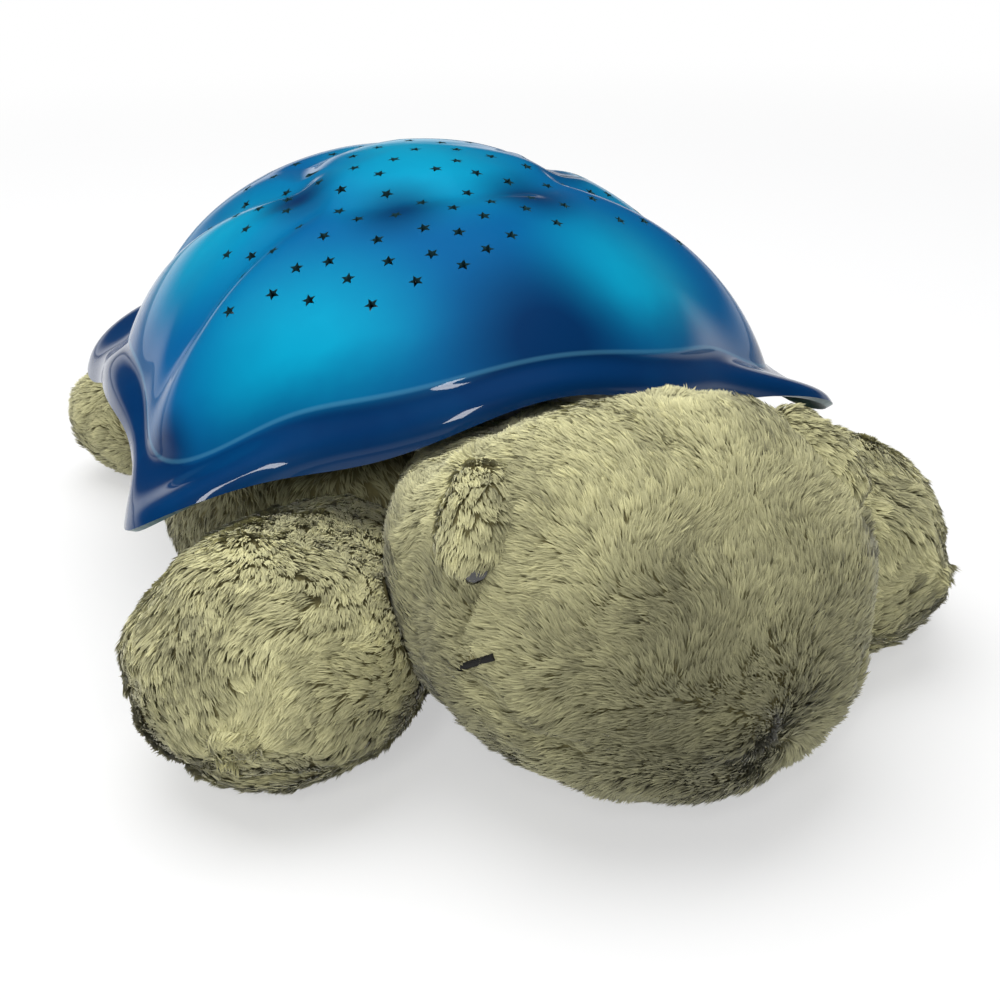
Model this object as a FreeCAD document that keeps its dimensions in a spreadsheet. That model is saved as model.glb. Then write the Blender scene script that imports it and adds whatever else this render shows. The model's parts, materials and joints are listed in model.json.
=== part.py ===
import FreeCAD, Part
import math
import os
import random
import re
import Sketcher

# A plush turtle night light: a hard star-holed shell on a stuffed turtle, with a battery lamp inside.
# The turtle faces -Y, +Z is up, the origin is on the floor below the middle of the shell. Millimetres.

Vector = FreeCAD.Vector
doc = FreeCAD.newDocument("TurtleNightLight")
sheet = doc.addObject("Spreadsheet::Sheet", "Sizes")

SIZES = {
    # shell: the brim's edge and the crease above it, as rings of reach and height round the dome
    "shell_wall": 2.4,
    "brim_front": 119.0, "brim_side": 109.0, "brim_rear": 118.0,
    "brim_front_level": 73.0, "brim_side_level": 70.0, "brim_rear_level": 74.0,
    "front_corner_reach": 28.0, "front_corner_angle": 54.0, "front_corner_spread": 12.0,
    "rear_corner_reach": 17.0, "rear_corner_angle": 126.0, "rear_corner_spread": 14.0,
    "neck_arch": 20.0, "neck_arch_spread": 22.0,
    "front_droop": 16.0, "front_droop_angle": 61.0, "front_droop_spread": 11.0,
    "rear_droop": 12.0, "rear_droop_angle": 119.0, "rear_droop_spread": 14.0,
    "crease_front": 111.0, "crease_side": 99.0, "crease_rear": 108.0,
    "crease_front_level": 92.0, "crease_side_level": 85.0, "crease_rear_level": 86.0,
    "crease_front_bulge": 15.0, "crease_rear_bulge": 4.0, "crease_bulge_angle": 59.0,
    "crease_bulge_spread": 13.0,
    "crease_arch": 10.0, "crease_front_drop": 18.0, "crease_drop_spread": 16.0,
    "crease_rear_drop": 8.0, "crease_rear_angle": 122.0,
    "dome_base_level": 44.0, "dome_rise": 98.0, "crown_flat_radius": 3.0,
    "valley_depth": 4.0, "crown_valley_depth": 2.6, "valley_spread": 8.0,
    # star holes
    "star_radius": 2.3, "star_inner_share": 0.45, "moon_radius": 4.0, "star_pitch": 10.0,
    # stuffed turtle
    "belly_half_width": 92.0, "belly_front": 92.0, "belly_rear": 98.0, "belly_height": 69.6,
    "head_half_width": 63.0, "head_front": 211.0, "head_root": 82.0, "head_top": 103.0,
    "head_bottom": 3.0, "head_offset": 6.0,
    "front_flipper_radius": 42.0, "front_flipper_depth": 33.0, "front_flipper_x": 85.0,
    "front_flipper_y": 118.0, "flipper_floor_gap": 0.6,
    "rear_flipper_radius": 27.0, "rear_flipper_depth": 26.0, "rear_flipper_x": 88.0,
    "rear_flipper_y": 104.0,
    "tail_length": 26.0, "tail_radius": 13.0,
    "eye_radius": 5.0, "eye_back": 172.0, "eye_level": 76.0,
    "eyelid_radius": 17.0, "eyelid_half_width": 9.4, "eyelid_swelling": 7.0,
    "lid_back": 160.0, "lid_level": 86.0,
    "mouth_radius": 0.9, "mouth_back": 181.0, "mouth_level": 55.0,
    # lamp housing
    "housing_wall": 2.2, "pan_length": 104.0, "pan_width": 108.0, "pan_corner": 12.0,
    "deck_level": 70.0, "deck_thickness": 2.4, "deck_radius": 91.0,
    "bay_length": 64.4, "bay_width": 52.0, "bay_bottom": 6.6, "door_thickness": 2.2,
    "pocket_gap": 0.3, "seat_gap": 0.3, "fit_gap": 0.05, "button_gap": 0.3,
    # cells and contacts
    "cell_diameter": 14.5, "cell_length": 49.5, "nub_diameter": 5.5, "nub_height": 1.0,
    "cell_pitch": 15.2, "contact_thickness": 0.5, "contact_width": 11.0,
    # screws
    "screw_radius": 1.4, "screw_head_radius": 2.8, "screw_head_height": 2.2,
    "post_radius": 4.5, "post_x": 44.0, "post_y": 18.0, "counterbore_depth": 20.0,
    "boss_radius": 4.2, "boss_x": 38.0, "boss_y": 40.0, "boss_screw_reach": 12.0,
    "deck_boss_height": 9.0,
    # boards and lamp
    "board_thickness": 1.6, "main_board_length": 76.0, "main_board_width": 60.0,
    "standoff_height": 6.0, "standoff_radius": 3.0, "chip_side": 10.0, "chip_height": 2.0,
    "capacitor_radius": 4.0, "capacitor_height": 11.0,
    "lamp_board_radius": 17.0, "led_radius": 2.5, "led_height": 8.6, "led_circle": 7.0,
    "lens_radius": 15.0, "lens_wall": 1.6, "lens_height": 12.0,
    "reflector_inner": 18.0, "reflector_outer": 34.0, "reflector_height": 9.0,
    "reflector_wall": 1.2,
    "collar_radius": 86.0, "collar_wall": 2.0,
    # buttons on the rear of the dome
    "button_radius": 4.5, "button_pitch": 15.0, "button_share": 0.35, "button_stand": 1.2,
    "button_travel": 1.0, "flange_radius": 5.8, "flange_thickness": 1.2, "stem_radius": 1.8,
    "flange_drop": 1.7, "button_rounding": 0.8,
    "button_board_depth": 14.6, "button_board_length": 60.0, "button_board_width": 13.0,
    "switch_side": 6.0, "switch_height": 3.6, "plunger_radius": 1.6, "plunger_height": 1.0,
    "bracket_width": 50.0, "bracket_wall": 2.0,
    # belly flap
    "flap_length": 66.0, "flap_width": 62.0, "flap_thickness": 3.2, "flap_floor_gap": 0.8,
    "flap_gap": 1.0, "strip_thickness": 0.5, "strip_width": 4.0, "strip_length": 54.0,
    # wires
    "wire_radius": 1.1,
}

for row, (alias, value) in enumerate(SIZES.items(), start=1):
    sheet.set(f"A{row}", alias)
    sheet.set(f"B{row}", str(value))
    sheet.setAlias(f"B{row}", alias)
doc.recompute()


def size(alias):
    """The value of one cell of the sheet."""
    return float(sheet.get(alias))


def bind(feature, **expressions):
    """Tie properties of a feature to the sheet: words that are aliases get the sheet's name."""
    for name, text in expressions.items():
        words = re.sub(r"[a-z][a-z_]+", lambda m: ("Sizes." if m.group() in SIZES else "") + m.group(),
                       str(text))
        feature.setExpression(name.replace("__", "."), words)
    return feature


def place(feature, x="0", y="0", z="0"):
    """Put a feature's origin at a place worked out from the sheet."""
    return bind(feature, Placement__Base__x=x, Placement__Base__y=y, Placement__Base__z=z)


def block(name, length, width, height, x="0", y="0", z="0"):
    """A box centred on (x, y) that stands on level z."""
    feature = bind(doc.addObject("Part::Box", name), Length=length, Width=width, Height=height)
    return place(feature, f"({x}) - ({length}) / 2", f"({y}) - ({width}) / 2", z)


def rod(name, radius, height, x="0", y="0", z="0"):
    """An upright cylinder on level z."""
    feature = bind(doc.addObject("Part::Cylinder", name), Radius=radius, Height=height)
    return place(feature, x, y, z)


def cone(name, low, high, height, x="0", y="0", z="0"):
    """An upright cone on level z."""
    feature = bind(doc.addObject("Part::Cone", name), Radius1=low, Radius2=high, Height=height)
    return place(feature, x, y, z)


def fuse(name, features):
    joined = doc.addObject("Part::MultiFuse", name)
    joined.Shapes = features
    return joined


def cut(name, base, tools):
    """Take the tools away from the base."""
    tool = tools[0] if len(tools) == 1 else fuse(name + "_tools", tools)
    result = doc.addObject("Part::Cut", name)
    result.Base = base
    result.Tool = tool
    return result


def group(name, features):
    """Equal pieces that share one node."""
    together = doc.addObject("Part::Compound", name)
    together.Links = features
    return together


def solid(name, shape):
    """A sub-part whose shape is worked out from the sheet by this script."""
    feature = doc.addObject("Part::Feature", name)
    feature.Shape = shape
    return feature


NODES = []


def node(feature, label):
    """Mark a feature as a sub-part: its label names its file."""
    feature.Label = label
    NODES.append(feature)
    return feature


def rounded_plate(name, length, width, corner, thickness, z):
    """A body: the pad of a rectangle about the origin, with its upright edges rounded."""
    body = doc.addObject("PartDesign::Body", name)
    plane = [f for f in body.Origin.OriginFeatures if f.Role == "XY_Plane"][0]
    sketch = body.newObject("Sketcher::SketchObject", name + "_outline")
    sketch.AttachmentSupport = (plane, [""])
    sketch.MapMode = "FlatFace"
    corners = [Vector(-1, -1, 0), Vector(1, -1, 0), Vector(1, 1, 0), Vector(-1, 1, 0)]
    for side in range(4):
        sketch.addGeometry(Part.LineSegment(corners[side], corners[(side + 1) % 4]), False)
    for side in range(4):
        sketch.addConstraint(Sketcher.Constraint("Coincident", side, 2, (side + 1) % 4, 1))
        direction = "Horizontal" if side % 2 == 0 else "Vertical"
        sketch.addConstraint(Sketcher.Constraint(direction, side))
    sketch.addConstraint(Sketcher.Constraint("Symmetric", 0, 1, 1, 2, -1, 1))
    for label, side in (("length", 0), ("width", 1)):
        kind = "DistanceX" if side == 0 else "DistanceY"
        index = sketch.addConstraint(Sketcher.Constraint(kind, side, 1, side, 2, 2.0))
        sketch.renameConstraint(index, label)
    bind(sketch, Constraints__length=length, Constraints__width=width)
    pad = body.newObject("PartDesign::Pad", name + "_pad")
    pad.Profile = sketch
    bind(pad, Length=thickness)
    doc.recompute()
    upright = [f"Edge{i}" for i, e in enumerate(pad.Shape.Edges, start=1)
               if abs(e.tangentAt(e.FirstParameter).z) > 0.99]
    rounding = body.newObject("PartDesign::Fillet", name + "_corners")
    rounding.Base = (pad, upright)
    bind(rounding, Radius=corner)
    body.Tip = rounding
    place(body, z=z)
    return body


# Rings: eight arcs through three points each, so that lofts run through arcs of under a half circle

RING_ARCS = 8


def ring(centre, across, up, half_across, half_up, fullness=2.0):
    """A closed oval of arcs: fullness 2 is an ellipse, more is squarer."""
    points = []
    for step in range(2 * RING_ARCS):
        angle = math.pi * step / RING_ARCS
        share_a = math.copysign(abs(math.cos(angle)) ** (2 / fullness), math.cos(angle))
        share_u = math.copysign(abs(math.sin(angle)) ** (2 / fullness), math.sin(angle))
        points.append(centre + across * (half_across * share_a) + up * (half_up * share_u))
    arcs = [Part.Arc(points[i], points[i + 1], points[(i + 2) % len(points)]).toShape()
            for i in range(0, len(points), 2)]
    return Part.Wire(arcs)


def loft(rings):
    return Part.makeLoft(rings, True, False)


# The shell's formula: reach and level of a ring at an angle from the front, in degrees


def swing(angle, front, side, rear):
    """A value that runs smoothly from the front through the sides to the rear."""
    turn = math.radians(angle)
    mean = ((front + rear) / 2 + side) / 2
    second = ((front + rear) / 2 - side) / 2
    return mean + (front - rear) / 2 * math.cos(turn) + second * math.cos(2 * turn)


def swell(angle, height, at, spread):
    """A smooth bump on both sides: its height, its angle and its spread are cells of the sheet."""
    place, width = size(at) if at else 0.0, size(spread)
    gap = (angle - place + 180) % 360 - 180
    other = (angle + place + 180) % 360 - 180
    bump = math.exp(-(gap / width) ** 2)
    if place:
        bump += math.exp(-(other / width) ** 2)
    return size(height) * bump


def brim_edge(angle):
    reach = (swing(angle, size("brim_front"), size("brim_side"), size("brim_rear"))
             + swell(angle, "front_corner_reach", "front_corner_angle", "front_corner_spread")
             + swell(angle, "rear_corner_reach", "rear_corner_angle", "rear_corner_spread"))
    level = (swing(angle, size("brim_front_level"), size("brim_side_level"), size("brim_rear_level"))
             + swell(angle, "neck_arch", None, "neck_arch_spread")
             - swell(angle, "front_droop", "front_droop_angle", "front_droop_spread")
             - swell(angle, "rear_droop", "rear_droop_angle", "rear_droop_spread"))
    return reach, level


def crease(angle):
    reach = (swing(angle, size("crease_front"), size("crease_side"), size("crease_rear"))
             + swell(angle, "crease_front_bulge", "crease_bulge_angle", "crease_bulge_spread")
             + swell(angle, "crease_rear_bulge", "rear_corner_angle", "rear_corner_spread"))
    level = (swing(angle, size("crease_front_level"), size("crease_side_level"), size("crease_rear_level"))
             + swell(angle, "crease_arch", None, "neck_arch_spread")
             - swell(angle, "crease_front_drop", "crease_bulge_angle", "crease_drop_spread")
             - swell(angle, "crease_rear_drop", "crease_rear_angle", "rear_corner_spread"))
    return reach, level


# Valleys between the five fields of the shell, as paths seen from above, on the turtle's left side
CORNER_VALLEYS = [[(43, -27), (70, -33), (103, -41)], [(43, -2), (60, 17), (91, 61)]]
CROWN_VALLEY = [(0, -46), (24, -41), (43, -27), (45, -12), (43, -2), (32, 18), (0, 30)]


def path_distance(x, y, path):
    """Distance in the plan from a point to a path of straight runs."""
    best = float("inf")
    for (ax, ay), (bx, by) in zip(path, path[1:]):
        run = (bx - ax) ** 2 + (by - ay) ** 2
        share = min(1, max(0, ((x - ax) * (bx - ax) + (y - ay) * (by - ay)) / run))
        best = min(best, math.hypot(x - ax - share * (bx - ax), y - ay - share * (by - ay)))
    return best


def valley(x, y, share):
    """How far the dome's skin dips at a place: share is 0 at the crease and 1 at the top."""
    fade = min(1, share / 0.3)
    dip = 0.0
    for path in CORNER_VALLEYS:
        near = path_distance(abs(x), y, path) / size("valley_spread")
        dip = max(dip, size("valley_depth") * fade * math.exp(-near ** 2))
    near = path_distance(abs(x), y, CROWN_VALLEY) / size("valley_spread")
    return max(dip, size("crown_valley_depth") * math.exp(-near ** 2))


def dome_point(angle, share):
    """A point of the dome without its valleys: share 0 is the crease, 1 the top."""
    reach, level = crease(angle)
    base, rise = size("dome_base_level"), size("dome_rise")
    start = math.asin((level - base) / rise)
    lift = start + (math.pi / 2 - start) * share
    radius = reach * math.cos(lift) / math.cos(start)
    turn = math.radians(angle)
    return Vector(radius * math.sin(turn), -radius * math.cos(turn), base + rise * math.sin(lift))


def brim_point(angle, share):
    """A point of the brim: share 0 is the crease, 1 the edge; a cove, then a lip that rolls down."""
    inner_reach, inner_level = crease(angle)
    outer_reach, outer_level = brim_edge(angle)
    out = share - math.sin(2 * math.pi * share) / (4 * math.pi)
    down = 0.35 * (1 - (1 - share) ** 3) + 0.65 * share ** 3
    radius = inner_reach + (outer_reach - inner_reach) * out
    turn = math.radians(angle)
    return Vector(radius * math.sin(turn), -radius * math.cos(turn),
                  inner_level + (outer_level - inner_level) * down)


def normal_at(surface, angle, share):
    """The outward normal of a surface function, from small steps."""
    step = 0.01
    low, high = max(0, share - step), min(1, share + step)
    around = surface(angle + 1, share) - surface(angle - 1, share)
    along = surface(angle, high) - surface(angle, low)
    normal = around.cross(along)
    normal.normalize()
    return normal if normal.z > 0 or abs(normal.z) < 0.2 else normal * -1


COLUMNS = 120
DOME_ROWS = [0, 0.03, 0.08, 0.15, 0.22, 0.3, 0.38, 0.46, 0.54, 0.62, 0.7, 0.78, 0.86, 0.92, 0.96]
BRIM_ROWS = [0, 0.08, 0.2, 0.35, 0.5, 0.65, 0.8, 0.92, 1]
ANGLES = [360 * column / COLUMNS for column in range(COLUMNS)]


def crown_ring(depth):
    """The small level ring round the top."""
    radius = size("crown_flat_radius")
    level = size("dome_base_level") + size("dome_rise") - 0.05 - depth
    return [Vector(radius * math.sin(math.radians(a)), -radius * math.cos(math.radians(a)), level)
            for a in ANGLES]


def skin_rows(depth):
    """The rows of control points of the shell's skin at a depth under its outer face."""
    crease_row = []
    for angle in ANGLES:
        normal = normal_at(dome_point, angle, 0) + normal_at(brim_point, angle, 0)
        normal.normalize()
        crease_row.append(dome_point(angle, 0) - normal * depth)
    dome = [crease_row]
    for share in DOME_ROWS[1:]:
        row = []
        for angle in ANGLES:
            point = dome_point(angle, share)
            sink = depth + valley(point.x, point.y, share)
            row.append(point - normal_at(dome_point, angle, share) * sink)
        dome.append(row)
    dome.append(crown_ring(depth))
    brim = [crease_row]
    for share in BRIM_ROWS[1:]:
        brim.append([brim_point(a, share) - normal_at(brim_point, a, share) * depth for a in ANGLES])
    return dome, brim


def skin(rows):
    """A smooth face whose control points are these rows; it closes on itself round the dome."""
    degree = min(3, len(rows) - 1)
    spans = len(rows) - degree
    surface = Part.BSplineSurface()
    surface.buildFromPolesMultsKnots(rows, [degree + 1] + [1] * (spans - 1) + [degree + 1],
                                     [1] * (len(ANGLES) + 1), list(range(spans + 1)),
                                     list(range(len(ANGLES) + 1)), False, True, degree, 3)
    return surface.toShape()


def closed_solid(faces):
    shell = Part.makeShell(faces)
    shell.sewShape()
    body = Part.makeSolid(shell if isinstance(shell, Part.Shell) else shell.Shells[0])
    if body.Volume < 0:
        body.reverse()
    return body


def level_face(row):
    """A flat face inside a level ring of control points."""
    curve = Part.BSplineCurve()
    curve.buildFromPolesMultsKnots(row, [1] * (len(ANGLES) + 1), list(range(len(ANGLES) + 1)), True, 3)
    return Part.Face(Part.Wire(curve.toShape()))


def dome_level(x, y, depth=0.0):
    """The level of the dome at a place in the plan, at a depth under its outer skin, and its share."""
    angle = math.degrees(math.atan2(x, -y))
    reach, level = crease(angle)
    base, rise = size("dome_base_level"), size("dome_rise")
    start = math.asin((level - base) / rise)
    lift = math.acos(min(1, math.hypot(x, y) * math.cos(start) / reach))
    share = (lift - start) / (math.pi / 2 - start)
    point = dome_point(angle, share)
    normal = normal_at(dome_point, angle, share)
    sink = depth + valley(x, y, share)
    return point.z - sink / normal.z, normal


# Star holes and one moon, scattered over the crown and the upper part of each field


def star_outline(radius):
    """A five-pointed star in the XY plane, its first point towards +Y."""
    points = []
    for step in range(10):
        reach = radius if step % 2 == 0 else radius * size("star_inner_share")
        turn = math.pi / 2 + math.pi * step / 5
        points.append(Vector(reach * math.cos(turn), reach * math.sin(turn), 0))
    return Part.Wire(Part.makePolygon(points + points[:1]))


def moon_outline(radius):
    """A crescent of two arcs in the XY plane."""
    tip_low, tip_high = Vector(0, -radius, 0), Vector(0, radius, 0)
    outer = Part.Arc(tip_low, Vector(-radius, 0, 0), tip_high).toShape()
    inner = Part.Arc(tip_high, Vector(-0.35 * radius, 0, 0), tip_low).toShape()
    return Part.Wire([outer, inner])


def on_dome(outline, x, y, spin):
    """The punch for one hole: the outline pushed through the wall along the dome's normal."""
    level, normal = dome_level(x, y)
    reach = size("shell_wall")
    punch = Part.Face(outline).extrude(Vector(0, 0, 3 * reach))
    turn = FreeCAD.Rotation(Vector(0, 0, 1), normal) * FreeCAD.Rotation(Vector(0, 0, 1), spin)
    punch.Placement = FreeCAD.Placement(Vector(x, y, level) - normal * 2 * reach, turn)
    return punch


MOON_PLACE = (-33.0, 4.0)


def star_places():
    """A scatter of places with a least distance between them, the same on every build."""
    chance = random.Random(11)
    pitch = size("star_pitch")
    kept = []
    for attempt in range(6000):
        angle = chance.uniform(-180, 180)
        share = chance.uniform(0.2, 0.97)
        point = dome_point(angle, share)
        low_share = 0.34 + 0.1 * math.sin(3 * math.radians(angle)) + 0.06 * chance.random()
        near_moon = math.hypot(point.x - MOON_PLACE[0], point.y - MOON_PLACE[1]) < pitch
        on_panel = abs(point.x) < 38 and point.y > 60
        if share < low_share or near_moon or on_panel:
            continue
        if all((point - other).Length > pitch for other, _ in kept):
            kept.append((point, chance.uniform(0, 72)))
    return [(point.x, point.y, spin) for point, spin in kept]


# The frame of the button row: a place on the dome's rear, its outward normal and the way along it

BUTTON_SEAT = dome_point(180, size("button_share"))
BUTTON_OUT = normal_at(dome_point, 180, size("button_share"))
BUTTON_TURN = FreeCAD.Rotation(Vector(0, 0, 1), BUTTON_OUT)
BOARD_TOP = BUTTON_SEAT - BUTTON_OUT * size("button_board_depth")
BUTTON_NAMES = ["power", "blue", "green", "amber"]


def button_offset(index):
    return (index - (len(BUTTON_NAMES) - 1) / 2) * size("button_pitch")


def dome_reach(offset):
    """Distance from the board's top to the dome's skin, at an offset along the row."""
    low, high = 0.0, 2 * size("button_board_depth")
    for halving in range(40):
        middle = (low + high) / 2
        point = BOARD_TOP + Vector(offset, 0, 0) + BUTTON_OUT * middle
        if point.z < dome_level(point.x, point.y)[0]:
            low = middle
        else:
            high = middle
    return low


def tilted(shape, offset=0.0, rise=0.0):
    """A shape drawn on the XY plane about the origin, moved onto the button board."""
    moved = shape.copy()
    moved.Placement = FreeCAD.Placement(BOARD_TOP + Vector(offset, 0, 0) + BUTTON_OUT * rise, BUTTON_TURN)
    return moved


def disc(radius, height, level=0.0):
    return Part.makeCylinder(radius, height, Vector(0, 0, level))


def plate(length, width, height, level=0.0):
    return Part.makeBox(length, width, height, Vector(-length / 2, -width / 2, level))


def shell_boss(x, y):
    """A boss under the dome: a cylinder whose top is cut level with the middle of the wall."""
    deck_top = size("deck_level") + size("deck_thickness")
    level, normal = dome_level(x, y, size("shell_wall") / 2)
    boss = Part.makeCylinder(size("boss_radius"), level - deck_top + 10, Vector(x, y, deck_top))
    cap = plate(60, 60, 60)
    cap.Placement = FreeCAD.Placement(Vector(x, y, level), FreeCAD.Rotation(Vector(0, 0, 1), normal))
    boss = boss.cut(cap)
    hole = Part.makeCylinder(size("screw_radius") + size("fit_gap"), size("boss_screw_reach") + 1,
                             Vector(x, y, deck_top))
    return boss.cut(hole)


BOSS_PLACES = [(sx * size("boss_x"), sy * size("boss_y")) for sx in (-1, 1) for sy in (-1, 1)]


def make_shell():
    wall = size("shell_wall")
    dome_out, brim_out = skin_rows(0)
    dome_in, brim_in = skin_rows(wall)
    faces = [skin(dome_out), skin(brim_out), skin(dome_in), skin(brim_in),
             skin([brim_out[-1], brim_in[-1]]), level_face(dome_out[-1]), level_face(dome_in[-1])]
    shell = closed_solid(faces)
    for x, y in BOSS_PLACES:
        shell = shell.fuse(shell_boss(x, y))
    punches = [tilted(disc(size("button_radius") + size("button_gap"), 30), button_offset(k))
               for k in range(len(BUTTON_NAMES))]
    star = star_outline(size("star_radius"))
    punches += [on_dome(star, x, y, spin) for x, y, spin in star_places()]
    punches.append(on_dome(moon_outline(size("moon_radius")), *MOON_PLACE, 20))
    print("star holes:", len(punches) - len(BUTTON_NAMES) - 1)
    return shell.cut(Part.makeCompound(punches))


def collar_ring(radius, level_at):
    """A ring of control points on an upright cylinder, at a level that depends on the angle."""
    return [Vector(radius * math.sin(math.radians(a)), -radius * math.cos(math.radians(a)),
                   level_at(a, radius)) for a in ANGLES]


def make_collar():
    """The light chamber's wall: it stands on the deck and carries the shell all round."""
    outer, inner = size("collar_radius"), size("collar_radius") - size("collar_wall")
    foot = size("deck_level") + size("deck_thickness")

    def under_dome(angle, radius):
        x, y = radius * math.sin(math.radians(angle)), -radius * math.cos(math.radians(angle))
        near = [path_distance(abs(x), y, path) for path in CORNER_VALLEYS + [CROWN_VALLEY]]
        spare = size("seat_gap") * math.exp(-(min(near) / (1.5 * size("valley_spread"))) ** 2)
        level, normal = dome_level(x, y, size("shell_wall"))
        return level - size("seat_gap") / normal.z - spare

    low_out, low_in = (collar_ring(radius, lambda angle, reach: foot) for radius in (outer, inner))
    top_out, top_in = collar_ring(outer, under_dome), collar_ring(inner, under_dome)
    top_in = [Vector(p.x, p.y, q.z) for p, q in zip(top_in, top_out)]
    return closed_solid([skin([low_out, top_out]), skin([top_out, top_in]), skin([top_in, low_in]),
                         skin([low_in, low_out])])


# Stuffed forms

X_AXIS, Y_AXIS, Z_AXIS = Vector(1, 0, 0), Vector(0, 1, 0), Vector(0, 0, 1)
FLOOR_DIP = 0.5


def make_belly():
    """The belly cushion, cut flat on the floor, with a stepped pocket for the lamp housing."""
    height = size("belly_height")
    middle = (size("belly_rear") - size("belly_front")) / 2
    half_length = (size("belly_rear") + size("belly_front")) / 2
    profile = [(-FLOOR_DIP, 0.80), (0.10 * height, 0.93), (0.42 * height, 1.0), (0.75 * height, 0.97),
               (0.93 * height, 0.91), (height, 0.84)]
    rings = [ring(Vector(0, middle, level), X_AXIS, Y_AXIS, size("belly_half_width") * share,
                  half_length * share, 2.5) for level, share in profile]
    belly = loft(rings)
    belly = belly.cut(Part.makeBox(400, 400, 20, Vector(-200, -200, -20)))
    gap = size("pocket_gap")
    pan_foot = size("bay_bottom") + size("door_thickness") + size("cell_diameter") + 2 * gap
    pocket = plate(size("pan_length") + 2 * gap, size("pan_width") + 2 * gap, height, pan_foot - gap)
    well = plate(size("bay_length") + 2 * gap, size("bay_width") + 2 * gap, height)
    strips = 2 * size("strip_thickness") + size("fit_gap")
    recess = plate(size("flap_length") + 2 * size("flap_gap") + 2, size("flap_width") + 2 * size("flap_gap"),
                   size("flap_floor_gap") + size("flap_thickness") + strips)
    return belly.cut(pocket).cut(well).cut(recess)


def make_head(belly):
    """The head along -Y: a neck, a broad crown and a blunt muzzle."""
    root, nose = -size("head_root"), -size("head_front")
    length = nose - root
    half, top, bottom = size("head_half_width"), size("head_top"), size("head_bottom")
    height = top - bottom
    # share of the length, share of the half width, low and high as shares of the height
    profile = [(0.00, 0.60, 0.32, 0.74), (0.17, 0.80, 0.18, 0.82), (0.31, 0.93, 0.09, 0.89),
               (0.43, 1.00, 0.04, 0.97), (0.60, 1.01, 0.01, 1.00), (0.78, 0.90, 0.02, 0.88),
               (0.91, 0.69, 0.09, 0.68), (0.975, 0.42, 0.18, 0.52), (1.00, 0.16, 0.27, 0.42)]
    rings = []
    for along, wide, low, high in profile:
        lean = size("head_offset") * min(1, 2 * along)
        centre = Vector(lean, root + along * length, bottom + (low + high) / 2 * height)
        rings.append(ring(centre, X_AXIS, Z_AXIS, half * wide, (high - low) / 2 * height, 2.15))
    over_deck = Part.makeCylinder(size("deck_radius") + size("pocket_gap"), height,
                                  Vector(0, 0, size("deck_level") - size("pocket_gap")))
    return loft(rings).cut(belly).cut(over_deck)


def limb(root, tip, radius, depth, profile):
    """A stuffed limb along a line in the plan: each ring a share of the way, width, depth and level."""
    along = tip - root
    heading = Vector(along.x, along.y, 0)
    heading.normalize()
    across = Z_AXIS.cross(heading)
    rings = []
    for share, wide, deep, lift in profile:
        centre = root + along * share
        centre.z = size("flipper_floor_gap") + depth * lift
        rings.append(ring(centre, across, Z_AXIS, radius * wide, depth * deep, 2.1))
    return loft(rings)


FRONT_FLIPPER_PROFILE = [(0.00, 0.50, 0.50, 1.10), (0.22, 0.72, 0.72, 1.05), (0.45, 0.93, 0.92, 1.02),
                         (0.64, 1.00, 1.00, 1.00), (0.82, 0.88, 0.88, 0.97), (0.94, 0.58, 0.60, 0.92),
                         (1.00, 0.20, 0.22, 0.88)]


def front_flipper(side, others):
    root = Vector(side * 46, -58, 0)
    heading = Vector(side * 0.50, -0.866, 0)
    centre = Vector(side * size("front_flipper_x"), -size("front_flipper_y"), 0)
    tip = centre + heading * size("front_flipper_radius")
    form = limb(root, tip, size("front_flipper_radius"), size("front_flipper_depth"), FRONT_FLIPPER_PROFILE)
    for other in others:
        form = form.cut(other)
    return max(form.Solids, key=lambda piece: piece.Volume)


def rear_flipper(side, others):
    root = Vector(side * 50, 56, 0)
    centre = Vector(side * size("rear_flipper_x"), size("rear_flipper_y"), 0)
    heading = centre - root
    heading.normalize()
    tip = centre + heading * size("rear_flipper_radius")
    form = limb(root, tip, size("rear_flipper_radius"), size("rear_flipper_depth"), FRONT_FLIPPER_PROFILE)
    for other in others:
        form = form.cut(other)
    return max(form.Solids, key=lambda piece: piece.Volume)


def make_tail(belly):
    root = Vector(0, size("belly_rear") - 16, 0)
    tip = Vector(0, size("belly_rear") + size("tail_length"), 0)
    profile = [(0.00, 1.00, 1.00, 1.9), (0.40, 1.00, 0.95, 1.75), (0.75, 0.66, 0.66, 1.5),
               (1.00, 0.22, 0.25, 1.3)]
    return limb(root, tip, size("tail_radius"), size("tail_radius"), profile).cut(belly)


belly_shape = make_belly()
head_shape = make_head(belly_shape)
node(solid("shell", make_shell()), "shell")
node(solid("light_collar", make_collar()), "light_collar")
node(solid("body", belly_shape), "body")
node(solid("head", head_shape), "head")
flippers = {}
for side, word in ((-1, "right"), (1, "left")):
    flippers[word] = front_flipper(side, [belly_shape, head_shape])
    node(solid("front_flipper_" + word, flippers[word]), "front_flipper_" + word)
    node(solid("rear_flipper_" + word, rear_flipper(side, [belly_shape])), "rear_flipper_" + word)
node(solid("tail", make_tail(belly_shape)), "tail")


# Face: an eye under a stuffed lid on each side, and the stitched mouth


def on_head(side, back, level):
    """A place on the head's side and its outward normal, by a straight shot from outside."""
    start = Vector(side * 150, -back, level)
    shot = Part.makeLine(start, Vector(size("head_offset"), -back, level))
    hit = min((vertex.Point for vertex in shot.common(head_shape).Vertexes),
              key=lambda point: (point - start).Length)
    face = min(head_shape.Faces, key=lambda f: f.distToShape(Part.Vertex(hit))[0])
    normal = face.normalAt(*face.Surface.parameter(hit))
    return hit, normal


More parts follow.
